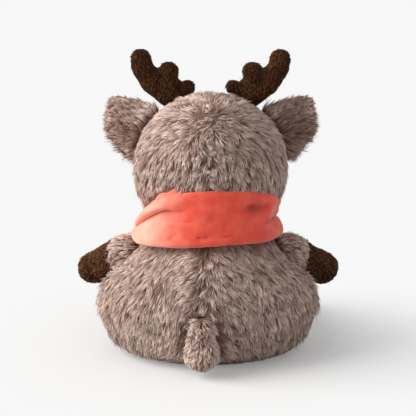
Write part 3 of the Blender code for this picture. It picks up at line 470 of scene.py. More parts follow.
def add_pile(obj, batches):
    """Joins strands to a skin's mesh. The skin takes the colour of the pile's roots."""
    mesh = obj.data
    mesh.calc_loop_triangles()
    base = np.empty(len(mesh.vertices) * 3, np.float32)
    mesh.vertices.foreach_get("co", base)
    skin_faces = np.empty(len(mesh.loop_triangles) * 3, np.int32)
    mesh.loop_triangles.foreach_get("vertices", skin_faces)
    points, fours, threes = [base.reshape(-1, 3)], [], [skin_faces.reshape(-1, 3)]
    corner = np.array([(0.5, 0.02), (0.52, 0.02), (0.51, 0.04)])
    four_uv, three_uv = [], [np.tile(corner, (len(threes[0]), 1))]
    total = len(points[0])
    for vertices, quads, triangles, quad_uv, triangle_uv in batches:
        points.append(vertices)
        fours.append(quads + total)
        threes.append(triangles + total)
        four_uv.append(quad_uv)
        three_uv.append(triangle_uv)
        total += len(vertices)
    points = np.concatenate(points).astype(np.float32)
    threes, fours = np.concatenate(threes), np.concatenate(fours)
    made = bpy.data.meshes.new(obj.name)
    made.vertices.add(len(points))
    made.vertices.foreach_set("co", points.ravel())
    made.loops.add(threes.size + fours.size)
    made.loops.foreach_set("vertex_index", np.concatenate([threes.ravel(), fours.ravel()]).astype(np.int32))
    made.polygons.add(len(threes) + len(fours))
    starts = np.concatenate([np.arange(len(threes)) * 3, threes.size + np.arange(len(fours)) * 4])
    made.polygons.foreach_set("loop_start", starts.astype(np.int32))
    layer = made.uv_layers.new(name="OFBake")
    layer.data.foreach_set("uv", np.concatenate(three_uv + four_uv).astype(np.float32).ravel())
    made.update(calc_edges=True)
    made.validate()
    made.shade_smooth()
    made.materials.append(mesh.materials[0])
    obj.data = made


def tufts_of(roots, share):
    """For each root the centre of its tuft and the tuft's number. share is tufts to the root."""
    count = max(int(len(roots) * share), 1)
    picks = rng.choice(len(roots), count, replace=False)
    tree = kdtree.KDTree(count)
    for k, p in enumerate(roots[picks]):
        tree.insert(p, k)
    tree.balance()
    own = np.array([tree.find(p)[1] for p in roots])
    return roots[picks][own], own, count


def merged(node):
    """A copy of a CAD node's mesh with its loose triangles joined."""
    bm = bmesh.new()
    bm.from_mesh(NODES[node].data)
    bmesh.ops.remove_doubles(bm, verts=bm.verts, dist=1e-5)
    return bm


def piece(name, bm, material):
    """A bmesh made an object."""
    mesh = bpy.data.meshes.new(name)
    bm.to_mesh(mesh)
    bm.free()
    mesh.materials.append(material)
    mesh.shade_smooth()
    obj = bpy.data.objects.new(name, mesh)
    bpy.context.scene.collection.objects.link(obj)
    return obj


def dress(obj, node, body):
    """The piece stands for a stuffed CAD node and moves with its body."""
    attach(obj, body)
    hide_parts(node)
    return obj


@dataclass
class Pile:
    """How a pile grows and clumps."""

    density: float  # strands to the square millimetre
    length: float
    width: float
    lift: float  # how far strands stand up, as a share of their length
    tufts: float  # tufts to the strand
    wave: float  # how far a strand swings from side to side
    gather: float  # how far a tuft's tips close up
    sink: float  # how deep the roots lie under the skin
    joints: int
    drift: float  # how far the combing wanders, in radians
    guard: float = 0.0  # share of strands that are longer, lighter and stand higher
    mottle: float = 1.0  # how much the tone varies


LONG_PILE = Pile(1.12, 10.5 * MM, 0.58 * MM, 0.27, 0.12, 1.0 * MM, 0.45, 0.5 * MM, 4, 0.26, 0.22)
HIDDEN_PILE = Pile(0.66, 9.5 * MM, 0.85 * MM, 0.35, 0.2, 0.7 * MM, 0.5, 0.5 * MM, 3, 0.35, 0.15)
FACE_PILE = Pile(0.85, 5.5 * MM, 0.75 * MM, 0.42, 0.2, 0.4 * MM, 0.4, 0.3 * MM, 3, 0.25, 0.1, 0.8)
SHORT_PILE = Pile(1.7, 3 * MM, 0.6 * MM, 0.8, 0.2, 0.0, 0.4, 0.3 * MM, 3, 0.6, 0.0, 0.6)
FOOT_PILE = Pile(1.2, 3 * MM, 0.7 * MM, 0.8, 0.2, 0.0, 0.4, 0.3 * MM, 3, 0.6, 0.0, 0.6)


def grow(obj, pile, keep, comb, length=None, normals_of=None, tone_of=None, lift_of=None, extra=()):
    """Covers a piece with pile. keep picks roots; comb, length, lift and tone take roots and normals."""
    corners, corner_normals = arrays(obj.data)
    roots, normals, flat = scatter(corners, corner_normals, pile.density)
    good = keep(roots, flat)
    roots, normals = roots[good], normals[good]
    if normals_of is not None:
        normals = normals_of(roots)
    centres, own, count = tufts_of(roots, pile.tufts)
    angle = wander(roots, 15 * MM, 3) + 0.6 * wander(roots, 6 * MM, 11) + rng.normal(0, 0.6, count)[own]
    angle = pile.drift * angle + rng.normal(0, 0.1, len(roots))
    way = comb(roots, normals)
    way = unit(way - normals * (way * normals).sum(1, keepdims=True))
    way = way * np.cos(angle)[:, None] + np.cross(normals, way) * np.sin(angle)[:, None]
    long = pile.length if length is None else length(roots, normals)
    long = long * (1 + rng.normal(0, 0.15, count))[own] * rng.uniform(0.78, 1.1, len(roots))
    long = np.maximum(long, 1 * MM)
    high = pile.lift * (1 + rng.normal(0, 0.2, count))[own] * rng.uniform(0.85, 1.15, len(roots))
    guard = rng.random(len(roots)) < pile.guard
    high = high * np.where(guard, 1.2, 0.8)
    long = long * np.where(guard, 1.06, 0.94)
    if lift_of is not None:
        high = high * lift_of(roots, normals)
    tone = 0.17 * rng.normal(0, 1, count)[own] + 0.23 * rng.normal(0, 1, len(roots)) + 0.18 * guard
    tone = 0.52 + pile.mottle * (tone + 0.2 * wander(roots, 11 * MM, 5))
    if tone_of is not None:
        tone += tone_of(roots, normals)
    phase = (rng.random(count) * 2 * math.pi)[own]
    wide = pile.width * rng.uniform(0.7, 1.25, len(roots))
    batch = strands(
        roots - normals * pile.sink, normals, way, long, wide, high, np.clip(tone, 0, 0.97),
        (centres - normals * pile.sink, phase), pile.wave * long / pile.length, pile.gather, pile.joints,
    )
    batch[0][:, 2] = np.maximum(batch[0][:, 2], 0.25 * MM)
    add_pile(obj, [batch, *extra])


# The scarf's edges, in degrees round the neck from the deer's left (0) past its back (90)

SCARF_CLOTH = 1.8 * MM
KNOT_HEIGHT = 92 * MM
TOP_EDGE = ((-90, 108), (-30, 114), (0, 113), (18, 115.7), (22, 118), (42, 125.5), (55, 131.8), (63, 135),
            (75, 137.6), (90, 139), (117, 137.6), (140, 132.5), (150, 128.5), (165, 123), (180, 119.5),
            (210, 117), (270, 108))
LOW_EDGE = ((-90, 87), (-30, 91), (0, 91.5), (21, 91.3), (35, 92.8), (52, 94.6), (68, 95.8), (82, 97.2),
            (103, 98.5), (123, 97.5), (137, 96.5), (160, 95), (180, 94), (210, 92.5), (270, 87))
FOLD_LINE = ((-90, 98), (-15, 98), (8, 101.5), (20, 108.8), (35, 117), (52, 125.2), (60, 126.4), (75, 124),
             (110, 116), (150, 111), (190, 109), (230, 103), (270, 98))
# the edge of the layer that stands up behind the roll
UNDER_EDGE = ((-90, 0), (15, 0), (22, 119), (34, 127.5), (43, 133.4), (50, 137.2), (57, 140.4), (62, 141),
              (69, 138), (75, 0))


def level(table, degrees):
    """A height of the scarf from its table of (degrees, millimetres)."""
    places, heights = zip(*table)
    return np.interp(degrees, places, heights) * MM


def round_neck(p):
    """Degrees round the neck of each point, from -90 in front to 270."""
    angle = np.degrees(np.arctan2(p[:, 1] - HEAD.y, p[:, 0] - HEAD.x))
    return np.where(angle < -90, angle + 360, angle)


def drawn_in(degrees, heights):
    """The scarf's heights where it narrows towards its knot."""
    near = step(-30, -84, degrees) + step(210, 264, degrees)
    return KNOT_HEIGHT + (heights - KNOT_HEIGHT) * (1 - 0.62 * near)


def over_scarf(p):
    """How far a point lies above the scarf's upper edge."""
    degrees = round_neck(p)
    return p[:, 2] - drawn_in(degrees, np.maximum(level(TOP_EDGE, degrees), level(UNDER_EDGE, degrees)))


def under_scarf(p):
    """How far a point lies below the scarf's lower edge."""
    degrees = round_neck(p)
    return drawn_in(degrees, level(LOW_EDGE, degrees)) - p[:, 2]


# Head

CROWN = np.array(Vector((0.0, math.cos(math.radians(48)), math.sin(math.radians(48)))))
SEAM_SIDE = 2.5 * MM


def head_comb(p, n):
    """Away from the crown, then more and more down. The seam's dent parts the fur."""
    across = n @ CROWN
    away = unit(n * across[:, None] - CROWN)
    spread = np.arccos(np.clip(across, -1, 1))
    way = away * (step(0.0, 0.3, spread) * (1 - 0.45 * step(0.5, 1.4, spread)))[:, None]
    way[:, 2] -= 1.5 * step(0.15, 1.3, spread)
    way[:, :2] += np.array((0.25, 0.6)) * (1 - step(0.0, 0.3, spread))[:, None]
    dent = hump(p[:, 0], SEAM_SIDE, 7 * MM) * hump(p[:, 2], 167 * MM, 7 * MM) * (p[:, 1] > HEAD.y)
    way[:, 0] += np.sign(p[:, 0] - SEAM_SIDE) * 0.7 * dent
    swirl = 1 - step(0.45, 1.0, spread)
    way[:, 0] += 1.1 * swirl * wander(p, 8 * MM, 71)
    way[:, 2] += 0.6 * swirl * wander(p, 7 * MM, 72)
    return way


def head_keep(p, flat):
    """The head's outer face, down to where the scarf covers it, and lower at the back."""
    good = (np.abs(head_out(p)) < 0.8 * MM) & ((head_normals(p) * flat).sum(1) > 0.8)
    over = over_scarf(p)
    tucked = (over > -17 * MM) & (p[:, 1] > HEAD.y - 20 * MM) & (rng.random(len(p)) < 0.6)
    return good & ((over > -3 * MM) | tucked)


def head_length(p, n):
    """Long pile on the back of the head, cut shorter over the face, and short of the scarf."""
    long = LONG_PILE.length * (0.62 + 0.33 * step(-30 * MM, 10 * MM, p[:, 1]))
    over = over_scarf(p)
    behind = 2.4 * step(-2, -6, over / MM)
    return np.minimum(long, np.maximum(over, 0) + np.maximum(1.5 + 1.6 * falls_over(p), behind) * MM)


def falls_over(p):
    """1 where the head's pile lies over the scarf, 0 where the scarf stands in front of it."""
    degrees = round_neck(p)
    return step(90, 104, degrees) * (1 - 0.5 * step(125, 150, degrees)) * (1 - step(200, 215, degrees))


def head_lift(p, n):
    """Flat behind the scarf, raised where it lies over the scarf and above the crown."""
    over = over_scarf(p)
    low = 1 - step(2 * MM, 12 * MM, over)
    above = step(0.0, 0.25, head_normals(p)[:, 2] - CROWN[2]) * step(0, 25 * MM, p[:, 1] - HEAD.y)
    return np.where(over < -2 * MM, 0.35, 1 + low * (0.9 * falls_over(p) - 0.3) + 0.9 * above)


def head_painted_shade(p, n):
    """Painted shade: dark in the seam's dent and at the crown, and where the pile goes down behind the scarf.
    """
    dent = hump(p[:, 0], SEAM_SIDE, 5 * MM) * hump(p[:, 2], 166 * MM, 4 * MM) * (p[:, 1] > HEAD.y)
    crown = hump(head_normals(p) @ CROWN, 1.0, 0.035)
    return -0.6 * dent - 0.25 * crown - 0.35 * (1 - step(1 * MM, 6 * MM, over_scarf(p)))


# locks that stand out on the centre-back seam: side, height, turn from straight down, length, tone
HEAD_LOCKS = (
    (0.8, 155.5, -75, 9, 0.75), (3.5, 156.5, -60, 8, 0.7), (-1.5, 155.0, -80, 7, 0.65),
    (-2.5, 196, 160, 8, 0.8), (6.5, 157, 25, 9, 0.6), (-4.5, 158, -20, 9, 0.62), (5, 168, 45, 8, 0.6),
    (-1, 169, -60, 7, 0.62), (0, 174, -35, 8, 0.6), (3, 176, 30, 8, 0.55), (4, 148, 35, 8, 0.55),
    (-1, 148, -30, 8, 0.52),
)
BODY_LOCKS = (
    (0, 86, -20, 11, 0.75), (1.5, 80, 15, 11, 0.7), (-2, 74, -15, 12, 0.75), (0.5, 68, 20, 11, 0.7),
    (-1, 62, -20, 11, 0.78), (1.5, 56, 15, 11, 0.7), (-2, 50, -15, 10, 0.7), (0, 45, 12, 10, 0.62),
    (9, 82, 62, 11, 0.62), (12, 76, 68, 11, 0.6), (10, 68, 55, 11, 0.58), (-12, 80, -50, 11, 0.6),
    (-14, 66, -48, 12, 0.62), (-16, 56, -42, 11, 0.6), (14, 60, 48, 11, 0.6), (16, 50, 35, 11, 0.58),
)


LOCK_STRANDS = 13


def surface_back(x, z, of_head):
    """The place on the back of the head or of the body at a side and a height, with its normal."""
    if of_head:
        y = HEAD.y + math.sqrt(max(HEAD_RADIUS**2 - (x - HEAD.x) ** 2 - (z - HEAD.z) ** 2, 0))
    else:
        near, far = TORSO_AXIS.y, TORSO_AXIS.y + TORSO_HALF_DEPTH * 1.1
        for _ in range(30):
            y = (near + far) / 2
            if bulge(np.array((x, y, z))) < 1:
                near = y
            else:
                far = y
    p = np.array(((x, y, z),))
    return p, (head_normals(p) if of_head else bulge_normals(p))


def locks(table, of_head):
    """Single locks laid over the pile, each of a few strands that close to one point."""
    batches = []
    for side, height, turn, length, tone in table:
        p, n = surface_back(side * MM, height * MM, of_head)
        count = LOCK_STRANDS
        ways = np.array(((0.0, 0.0, -1.0), (1.0, 0.0, 0.0)))
        down, aside = unit(ways - n * (ways * n).sum(1, keepdims=True))[:, None]
        a = math.radians(turn)
        way = np.repeat(down * math.cos(a) + aside * math.sin(a), count, axis=0)
        across = np.cross(n, way[:1])
        spots = p + across * rng.normal(0, 1.3 * MM, (count, 1))
        spots = spots + way[:1] * rng.normal(0, 1.0 * MM, (count, 1))
        normals = np.repeat(n, count, axis=0)
        way = way + across * rng.normal(0, 0.12, (count, 1))
        long = length * MM * rng.uniform(0.85, 1.1, count)
        wide = LONG_PILE.width * rng.uniform(0.8, 1.2, count)
        lift = rng.uniform(0.6, 0.85, count)
        shade = np.clip(tone + rng.normal(0, 0.07, count), 0, 0.97)
        batches.append(strands(
            spots + normals * 0.6 * MM, normals, way, long, wide, lift, shade,
            (np.repeat(p, count, axis=0), np.full(count, side)), np.full(count, 0.9 * MM), 0.85,
            LONG_PILE.joints,
        ))
    return batches


def own_side(batches, keep_left):
    """Locks go with the panel on their own side of the seam."""
    return [batch for batch in batches if (batch[0][:, 0].mean() > SEAM_SIDE) == keep_left]


head_locks = locks(HEAD_LOCKS, True)
for label, side in SIDES:
    cover = piece(f"head_fur_{label}", merged(f"head_back_{label}"), FUR)
    grow(cover, LONG_PILE, head_keep, head_comb, head_length, head_normals, head_painted_shade, head_lift,
         own_side(head_locks, side > 0))
    dress(cover, f"head_back_{label}", "head")


# Body

TAIL_ROOT = JOINTS["tail_lift"]
TAIL_WAY = Vector((0, math.sin(TAIL_SLOPE), -math.cos(TAIL_SLOPE)))


def body_comb(p, n):
    """Down and outwards from the seam, strongest under the scarf and round the tail's root."""
    x, z = p[:, 0], p[:, 2]
    behind = step(-10 * MM, 20 * MM, p[:, 1] - TORSO_AXIS.y)
    high = step(25 * MM, 88 * MM, z)
    left, right = np.maximum(x - SEAM_SIDE, 0), np.maximum(SEAM_SIDE - x, 0)
    flare = np.where(
        x > SEAM_SIDE,
        0.1 + 0.3 * high + 0.9 * high * hump(left, 4 * MM, 14 * MM),
        -(0.05 + 0.3 * high + 0.5 * (0.3 + 0.7 * high) * hump(right, 20 * MM, 12 * MM)),
    )
    flare *= 0.25 + 0.75 * step(0.5 * MM, 5 * MM, np.abs(x - SEAM_SIDE))
    low = hump(z, 14 * MM, 14 * MM) * hump(x, TAIL_ROOT.x, 32 * MM)
    flare += np.sign(x - TAIL_ROOT.x) * 0.9 * low
    way = np.zeros_like(p)
    way[:, 2] = -1
    way[:, 0] = flare * behind + np.sign(x) * 0.25 * (1 - behind)
    for label, _ in SIDES:
        toward = np.array(JOINTS[f"{label}_arm_swing"]) - p
        away = np.linalg.norm(toward, axis=1)
        way += toward / away[:, None] * (2.2 * (1 - step(20 * MM, 30 * MM, away)))[:, None]
    return way


def body_keep(p, flat):
    """The body's outer face below the scarf and above it in front, and the hollow under the chin."""
    good = (np.abs(bulge(p) - 1) < 0.03) & ((bulge_normals(p) * flat).sum(1) > 0.6) & (p[:, 2] > 0.6 * MM)
    chest = (over_scarf(p) > -1 * MM) & (p[:, 1] < HEAD.y)
    cup = chest & (head_out(p) < 3 * MM) & (flat[:, 2] > 0)
    return cup | (good & ((under_scarf(p) > -7 * MM) | chest) & (clear_of_tail(p) > -1 * MM))


def clear_of_tail(p):
    """How far a point is from the tail's cover."""
    way = np.array((0, math.sin(TAIL_SLOPE), -math.cos(TAIL_SLOPE)))
    return np.linalg.norm(off_limb(p, TAIL_ROOT, way, TAIL_SIZES[2]), axis=1) - TAIL_SIZES[1]


def body_length(p, n):
    """Shorter near the floor, above the scarf and round the tail."""
    long = LONG_PILE.length * (0.4 + 0.65 * step(0, 20 * MM, p[:, 2]))
    long = np.where(over_scarf(p) > -2 * MM, 4 * MM, long)
    return np.minimum(long, 4 * MM + np.maximum(clear_of_tail(p), 0))


def body_lift(p, n):
    made = (0.3 + 0.7 * step(-2 * MM, 8 * MM, under_scarf(p))) * (0.6 + 0.4 * step(4 * MM, 20 * MM, p[:, 2]))
    return np.where(over_scarf(p) > -1 * MM, 2.0, made)


def body_painted_shade(p, n):
    """Painted shade: dark under the scarf, along the seam's furrow, near the floor and round the tail."""
    behind = p[:, 1] > TORSO_AXIS.y
    furrow = hump(p[:, 0], SEAM_SIDE + 1.5 * MM, 3 * MM) * step(38 * MM, 50 * MM, p[:, 2]) * behind
    tail_shade = 1 - step(0, 8 * MM, clear_of_tail(p))
    hem = (1 - step(1 * MM, 6 * MM, under_scarf(p))) * behind
    return -0.5 * hem - 0.3 * furrow - 0.5 * (1 - step(2 * MM, 17 * MM, p[:, 2])) - 0.9 * tail_shade


body_locks = locks(BODY_LOCKS, False)
for label, side in SIDES:
    cover = piece(f"body_fur_{label}", merged(f"torso_back_{label}"), FUR)
    grow(cover, LONG_PILE, body_keep, body_comb, body_length, bulge_normals, body_painted_shade, body_lift,
         own_side(body_locks, side > 0))
    dress(cover, f"torso_back_{label}", "torso")
cover = piece("belly_fur", merged("torso_belly"), FUR)
grow(cover, HIDDEN_PILE, body_keep, body_comb, body_length, bulge_normals, None, body_lift)
dress(cover, "torso_belly", "torso")


# Linings of the hollows behind the arms

POCKET_REACH = 34 * MM
POCKET_PILE = Pile(0.5, 8 * MM, 0.9 * MM, 0.75, 0.2, 0.5 * MM, 0.3, 0.3 * MM, 3, 0.3, 0.1, 0.8)


def backed(bm, thick):
    """Gives an open skin a second layer behind it, joined to it along the rim."""
    bm.normal_update()
    rim = [edge.link_loops[0] for edge in bm.edges if edge.is_boundary]
    rim = [(loop.vert, loop.link_loop_next.vert) for loop in rim]
    fronts = [tuple(face.verts) for face in bm.faces]
    behind = {v: bm.verts.new(v.co - v.normal * thick) for v in list(bm.verts)}
    for corners in fronts:
        bm.faces.new([behind[v] for v in reversed(corners)])
    for a, b in rim:
        bm.faces.new((b, a, behind[a], behind[b]))


def pocket_form(shoulder):
    """Fur cloth that lines the hollow in which an arm swings."""
    bm = merged("torso_filling")
    bm.normal_update()
    spots = np.array([face.calc_center_median()[:] for face in bm.faces])
    near = np.linalg.norm(spots - np.array(shoulder), axis=1) < POCKET_REACH
    inside = bulge(spots) < 0.92
    loose = [face for face, kept in zip(bm.faces, near & inside) if not kept]
    bmesh.ops.delete(bm, geom=loose, context="FACES")
    for v in bm.verts:
        v.co += v.normal * 0.4 * MM
    backed(bm, 0.3 * MM)
    return bm


def pocket_keep(p, flat):
    """Keeps roots on the side of the lining that faces the arm."""
    return (bulge(p) > 0.5) & ((bulge_normals(p) * flat).sum(1) > -0.3)


for label, side in SIDES:
    shoulder = JOINTS[f"{label}_arm_swing"]
    cover = piece(f"arm_pocket_{label}", pocket_form(shoulder), FUR)
    # painted shade: the lining's pile is made darker all over, as the hollow behind the arm lies in shade
    grow(cover, POCKET_PILE, pocket_keep, lambda p, n: bulge_normals(p),
         tone_of=lambda p, n: np.full(len(p), -0.3))
    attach(cover, "torso")


# Stuffed limbs


def turned(outline, root, way, steps):
    """A form turned round a line, from its outline's (along, out) points, ring by ring."""
    across = way.orthogonal().normalized()
    aside = way.cross(across)
    bm = bmesh.new()
    rings = []
    for along, out in outline:
        turns = [2 * math.pi * k / steps for k in range(steps if out > 0.01 * MM else 1)]
        spokes = [across * math.cos(a) + aside * math.sin(a) for a in turns]
        rings.append([bm.verts.new(root + way * along + spoke * out) for spoke in spokes])
    if outline[-1] == outline[0]:
        for v in rings[-1]:
            bm.verts.remove(v)
        rings[-1] = rings[0]
    for low, high in zip(rings, rings[1:]):
        for k in range(steps):
            here = low[k % len(low)], low[(k + 1) % len(low)]
            there = high[(k + 1) % len(high)], high[k % len(high)]
            corners = list(dict.fromkeys(here + there))
            if len(corners) > 2:
                bm.faces.new(corners)
    return bm


def limb_form(root, way, sizes, wall, start=None, stop=None):
    """A stuffed tube's cover, turned round its line: outer face, then its inner face."""
    first, last, reach = sizes
    start = -first if start is None else start
    stop = reach + last if stop is None else stop

    def radius(s, inset):
        if s < 0:
            return math.sqrt(max((first - inset) ** 2 - s * s, 0))
        if s > reach:
            return math.sqrt(max((last - inset) ** 2 - (s - reach) ** 2, 0))
        t = s / reach
        return first + (last - first) * t * t * (3 - 2 * t) - inset

    rows = []
    turns = [0.5 - 0.5 * math.cos(math.pi * k / 16) for k in range(17)]
    inside = (wall, max(start, wall - first), min(stop, reach + last - wall))
    for inset, low, high in ((0.0, start, stop), inside):
        rows.append([(low + (high - low) * t, radius(low + (high - low) * t, inset)) for t in turns])
    outline = rows[0] + rows[1][::-1]
    if start > -first:
        outline.append(outline[0])
    return turned(outline, root, way, 36)


def outer_face(root, way, sizes):
    """Keeps roots on a limb's outer face, outside the body and above the floor."""

    def keep(p, flat):
        outwards = (off_limb(p, root, way, sizes[2]) * flat).sum(1) > 0
        return outwards & (bulge(p) > 1.0) & (p[:, 2] > 0.8 * MM)

    return keep


def along_limb(root, way, droop=0.25):
    """Combed towards the limb's end, sagging a little."""

    def comb(p, n):
        made = np.tile(np.array(way, float), (len(p), 1))
        end = step(0.0, 8 * MM, limb_place(p, root, way)[1])[:, None]
        made = made * end + (p - np.array(root)) * (1 - end) * 0.2
        made[:, 2] -= droop
        return made

    return comb


def softened(bm, verts, factor, rounds=1):
    """Evens out vertices with their neighbours."""
    for _ in range(rounds):
        bmesh.ops.smooth_vert(bm, verts=verts, factor=factor, use_axis_x=True, use_axis_y=True,
                              use_axis_z=True)


def rumpled(obj, depth, size, seed):
    """Pushes a cover in and out a little, as stuffed velour lies."""
    bm = bmesh.new()
    bm.from_mesh(obj.data)
    bm.normal_update()
    spots = np.array([v.co[:] for v in bm.verts])
    push = wander(spots, size, seed) * depth
    for v, amount in zip(bm.verts, push):
        v.co += v.normal * amount
    bm.to_mesh(obj.data)
    bm.free()


def remeshed(obj, voxel, rounds):
    """Joins a piece's overlapping lobes into one skin and softens where they meet."""
    joiner = obj.modifiers.new("joined", "REMESH")
    joiner.mode = "VOXEL"
    joiner.voxel_size = voxel
    mesh = bpy.data.meshes.new_from_object(obj.evaluated_get(bpy.context.evaluated_depsgraph_get()))
    obj.modifiers.clear()
    bm = bmesh.new()
    bm.from_mesh(mesh)
    softened(bm, bm.verts, 0.5, rounds)
    bm.to_mesh(mesh)
    bm.free()
    mesh.name = obj.name
    if not mesh.materials:
        mesh.materials.append(obj.data.materials[0])
    obj.data = mesh


def hoof(name, node, body, root, way, sizes, cuff, pile=SHORT_PILE):
    """A mitten hoof of dark velour from the fur's seam to the limb's round end."""
    cover = piece(name, limb_form(root, way, sizes, VELOUR_WALL, start=cuff), VELOUR)
    rumpled(cover, 0.55 * MM, 7 * MM, 21)
    # painted light: besides random patches, the pile is lighter where it faces up and darker where it faces
    # down
    grow(cover, pile, outer_face(root, way, sizes), along_limb(root, way, 0.3),
         tone_of=lambda p, n: 0.3 * wander(p, 5 * MM, 31) + 0.28 * n[:, 2])
    dress(cover, node, body)


def sleeve(name, node, body, root, way, sizes, cuff, pile=LONG_PILE, length=None):
    """A fur sleeve from the limb's root to its cuff, whose pile falls over the hoof."""
    cover = piece(name, limb_form(root, way, sizes, FUR_WALL, stop=cuff), FUR)
    grow(cover, pile, outer_face(root, way, sizes), along_limb(root, way), length)
    dress(cover, node, body)


def cuff_length(root, way):
    """Pile that grows shorter towards an arm's seam, so that it only just falls over the hoof."""

    def length(p, n):
        along = limb_place(p, root, way)[0]
        return np.clip(ARM_CUFF + 1.5 * MM - along, 1.5 * MM, 8 * MM)

    return length


for label, side in SIDES:
    shoulder = JOINTS[f"{label}_arm_swing"]
    level_way = Vector((side * math.cos(ARM_FORWARD), -math.sin(ARM_FORWARD), 0)) * math.cos(ARM_DROP)
    arm = level_way - UP * math.sin(ARM_DROP)
    sleeve(f"arm_fur_{label}", f"arm_{label}_sleeve", f"{label}_arm", shoulder, arm, ARM_SIZES, ARM_CUFF,
           length=cuff_length(shoulder, arm))
    hoof(f"arm_velour_{label}", f"arm_{label}_hoof", f"{label}_arm", shoulder, arm, ARM_SIZES, ARM_CUFF)
    hip = JOINTS[f"{label}_leg_lift"]
    drop = math.asin((hip.z - LEG_SIZES[1] - LEG_FLOOR_GAP) / LEG_SIZES[2])
    level_way = Vector((side * math.sin(LEG_SPLAY), -math.cos(LEG_SPLAY), 0)) * math.cos(drop)
    leg = level_way - UP * math.sin(drop)
    sleeve(f"leg_fur_{label}", f"leg_{label}_sleeve", f"{label}_leg", hip, leg, LEG_SIZES, LEG_CUFF,
           HIDDEN_PILE)
    hoof(f"leg_velour_{label}", f"leg_{label}_hoof", f"{label}_leg", hip, leg, LEG_SIZES, LEG_CUFF, FOOT_PILE)


# Tail

TAIL_PILE = Pile(1.45, 6.5 * MM, 0.62 * MM, 0.5, 0.14, 0.9 * MM, 0.5, 0.3 * MM, 4, 0.5, 0.25)


def tail_comb(p, n):
    way = np.tile(np.array(TAIL_WAY), (len(p), 1))
    way[:, 0] += np.sign(p[:, 0] - TAIL_ROOT.x) * 0.3
    return way


def tail_keep(p, flat):
    outwards = (off_limb(p, TAIL_ROOT, TAIL_WAY, TAIL_SIZES[2]) * flat).sum(1) > 0
    return outwards & (bulge(p) > 1.01)


def tail_length(p, n):
    """Shorter towards the tail's end, so that the pile doesn't hang below it."""
    along = limb_place(p, TAIL_ROOT, TAIL_WAY)[0]
    return (6.5 - 4 * step(14 * MM, 30 * MM, along)) * MM


def tail_painted_shading(p, n):
    """A little lighter all over, a painted highlight down both sides and over the top, and painted shade in a
    dip between them near the root.
    """
    along = limb_place(p, TAIL_ROOT, TAIL_WAY)[0]
    aside = np.abs(p[:, 0] - TAIL_ROOT.x) / TAIL_SIZES[1]
    return 0.1 + 0.28 * step(0.3, 0.9, aside) - 0.3 * hump(aside, 0, 0.4) * hump(along, 4 * MM, 7 * MM)


cover = piece("tail_fur", limb_form(TAIL_ROOT, TAIL_WAY, TAIL_SIZES, TAIL_WALL), FUR)
grow(cover, TAIL_PILE, tail_keep, tail_comb, tail_length, tone_of=tail_painted_shading)
dress(cover, "tail_cover", "tail")


# Ears

EAR_LENGTH = 35 * MM
EAR_HALF_WIDTH = 23 * MM
EAR_PILE = Pile(1.6, 10 * MM, 0.52 * MM, 0.27, 0.1, 1.0 * MM, 0.4, 0.2 * MM, 4, 0.16, 0.25)
LINING_PILE = Pile(1.8, 2.6 * MM, 0.6 * MM, 0.7, 0.3, 0.0, 0.4, 0.3 * MM, 3, 0.4, 0.0, 0.4)

for label, side in SIDES:
    middle = JOINTS[f"{label}_ear_fold"]
    toward = (middle - HEAD).normalized()
    upper = (UP - toward * toward.dot(UP)).normalized()
    back = toward.cross(upper) * -side
    root, out, up, behind = (np.array(v) for v in (middle, toward, upper, back))

    def ear_comb(p, n):
        """From the ear's root towards its edges, so that the corners end in points."""
        q = p - root
        reach, high = q @ out, q @ up
        way = out[None, :] * (0.75 + 0.3 * step(10 * MM, 30 * MM, reach))[:, None]
        spread = np.where(high > 0, 0.1 + 0.5 * step(0.75, 1.0, reach / EAR_LENGTH), 0.75)
        way = way + up[None, :] * (spread * high / EAR_HALF_WIDTH)[:, None]
        way[:, 2] -= 0.25 * (high < 0)
        return way

    def ear_length(p, n):
        q = p - root
        reach, high = (q @ out) / EAR_LENGTH, (q @ up) / EAR_HALF_WIDTH
        corner = hump(reach, 0.95, 0.3) * (0.8 * hump(high, -0.45, 0.25) - 0.9 * hump(high, 0.75, 0.3))
        brow = hump(reach, 0.45, 0.25) * step(0.5, 0.9, high)
        return (10 - 5 * step(0.5, 1.0, reach) + 2.5 * corner - 2.5 * brow) * MM

    def ear_lift(p, n):
        return 1 - 0.6 * step(0.3, 0.8, ((p - root) @ up) / EAR_HALF_WIDTH)

    # painted shade deep in the ear's middle near its root and a painted highlight towards its outer end; the
    # whole ear a little darker
    def ear_painted_shading(p, n):
        q = p - root
        reach, high = (q @ out) / EAR_LENGTH, (q @ up) / EAR_HALF_WIDTH
        inner = hump(reach, 0.25, 0.45) * hump(high, -0.15, 0.6)
        return 0.1 * step(0.6, 1.0, reach) - 0.65 * inner - 0.2

    lining = merged(f"ear_lining_{label}")
    lining_tree = BVHTree.FromBMesh(lining)
    lining.free()

    def ear_keep(p, flat):
        """The ear's back and the rim round its lining."""
        rim = np.array([lining_tree.find_nearest(Vector(place))[3] > 0.5 * MM for place in p])
        return ((flat @ behind > -0.35) | rim) & (head_out(p) > 0.5 * MM)

    def lining_keep(p, flat):
        return flat @ behind < 0.2

    cover = piece(f"ear_fur_{label}", merged(f"ear_back_{label}"), FUR)
    grow(cover, EAR_PILE, ear_keep, ear_comb, ear_length, tone_of=ear_painted_shading, lift_of=ear_lift)
    dress(cover, f"ear_back_{label}", f"{label}_ear")
    cover = piece(f"ear_velour_{label}", merged(f"ear_lining_{label}"), CREAM)
    remeshed(cover, 0.8 * MM, 10)
    grow(cover, LINING_PILE, lining_keep, ear_comb)
    dress(cover, f"ear_lining_{label}", f"{label}_ear")


# Antlers

ANTLER_FLAT_SHARE = 0.84
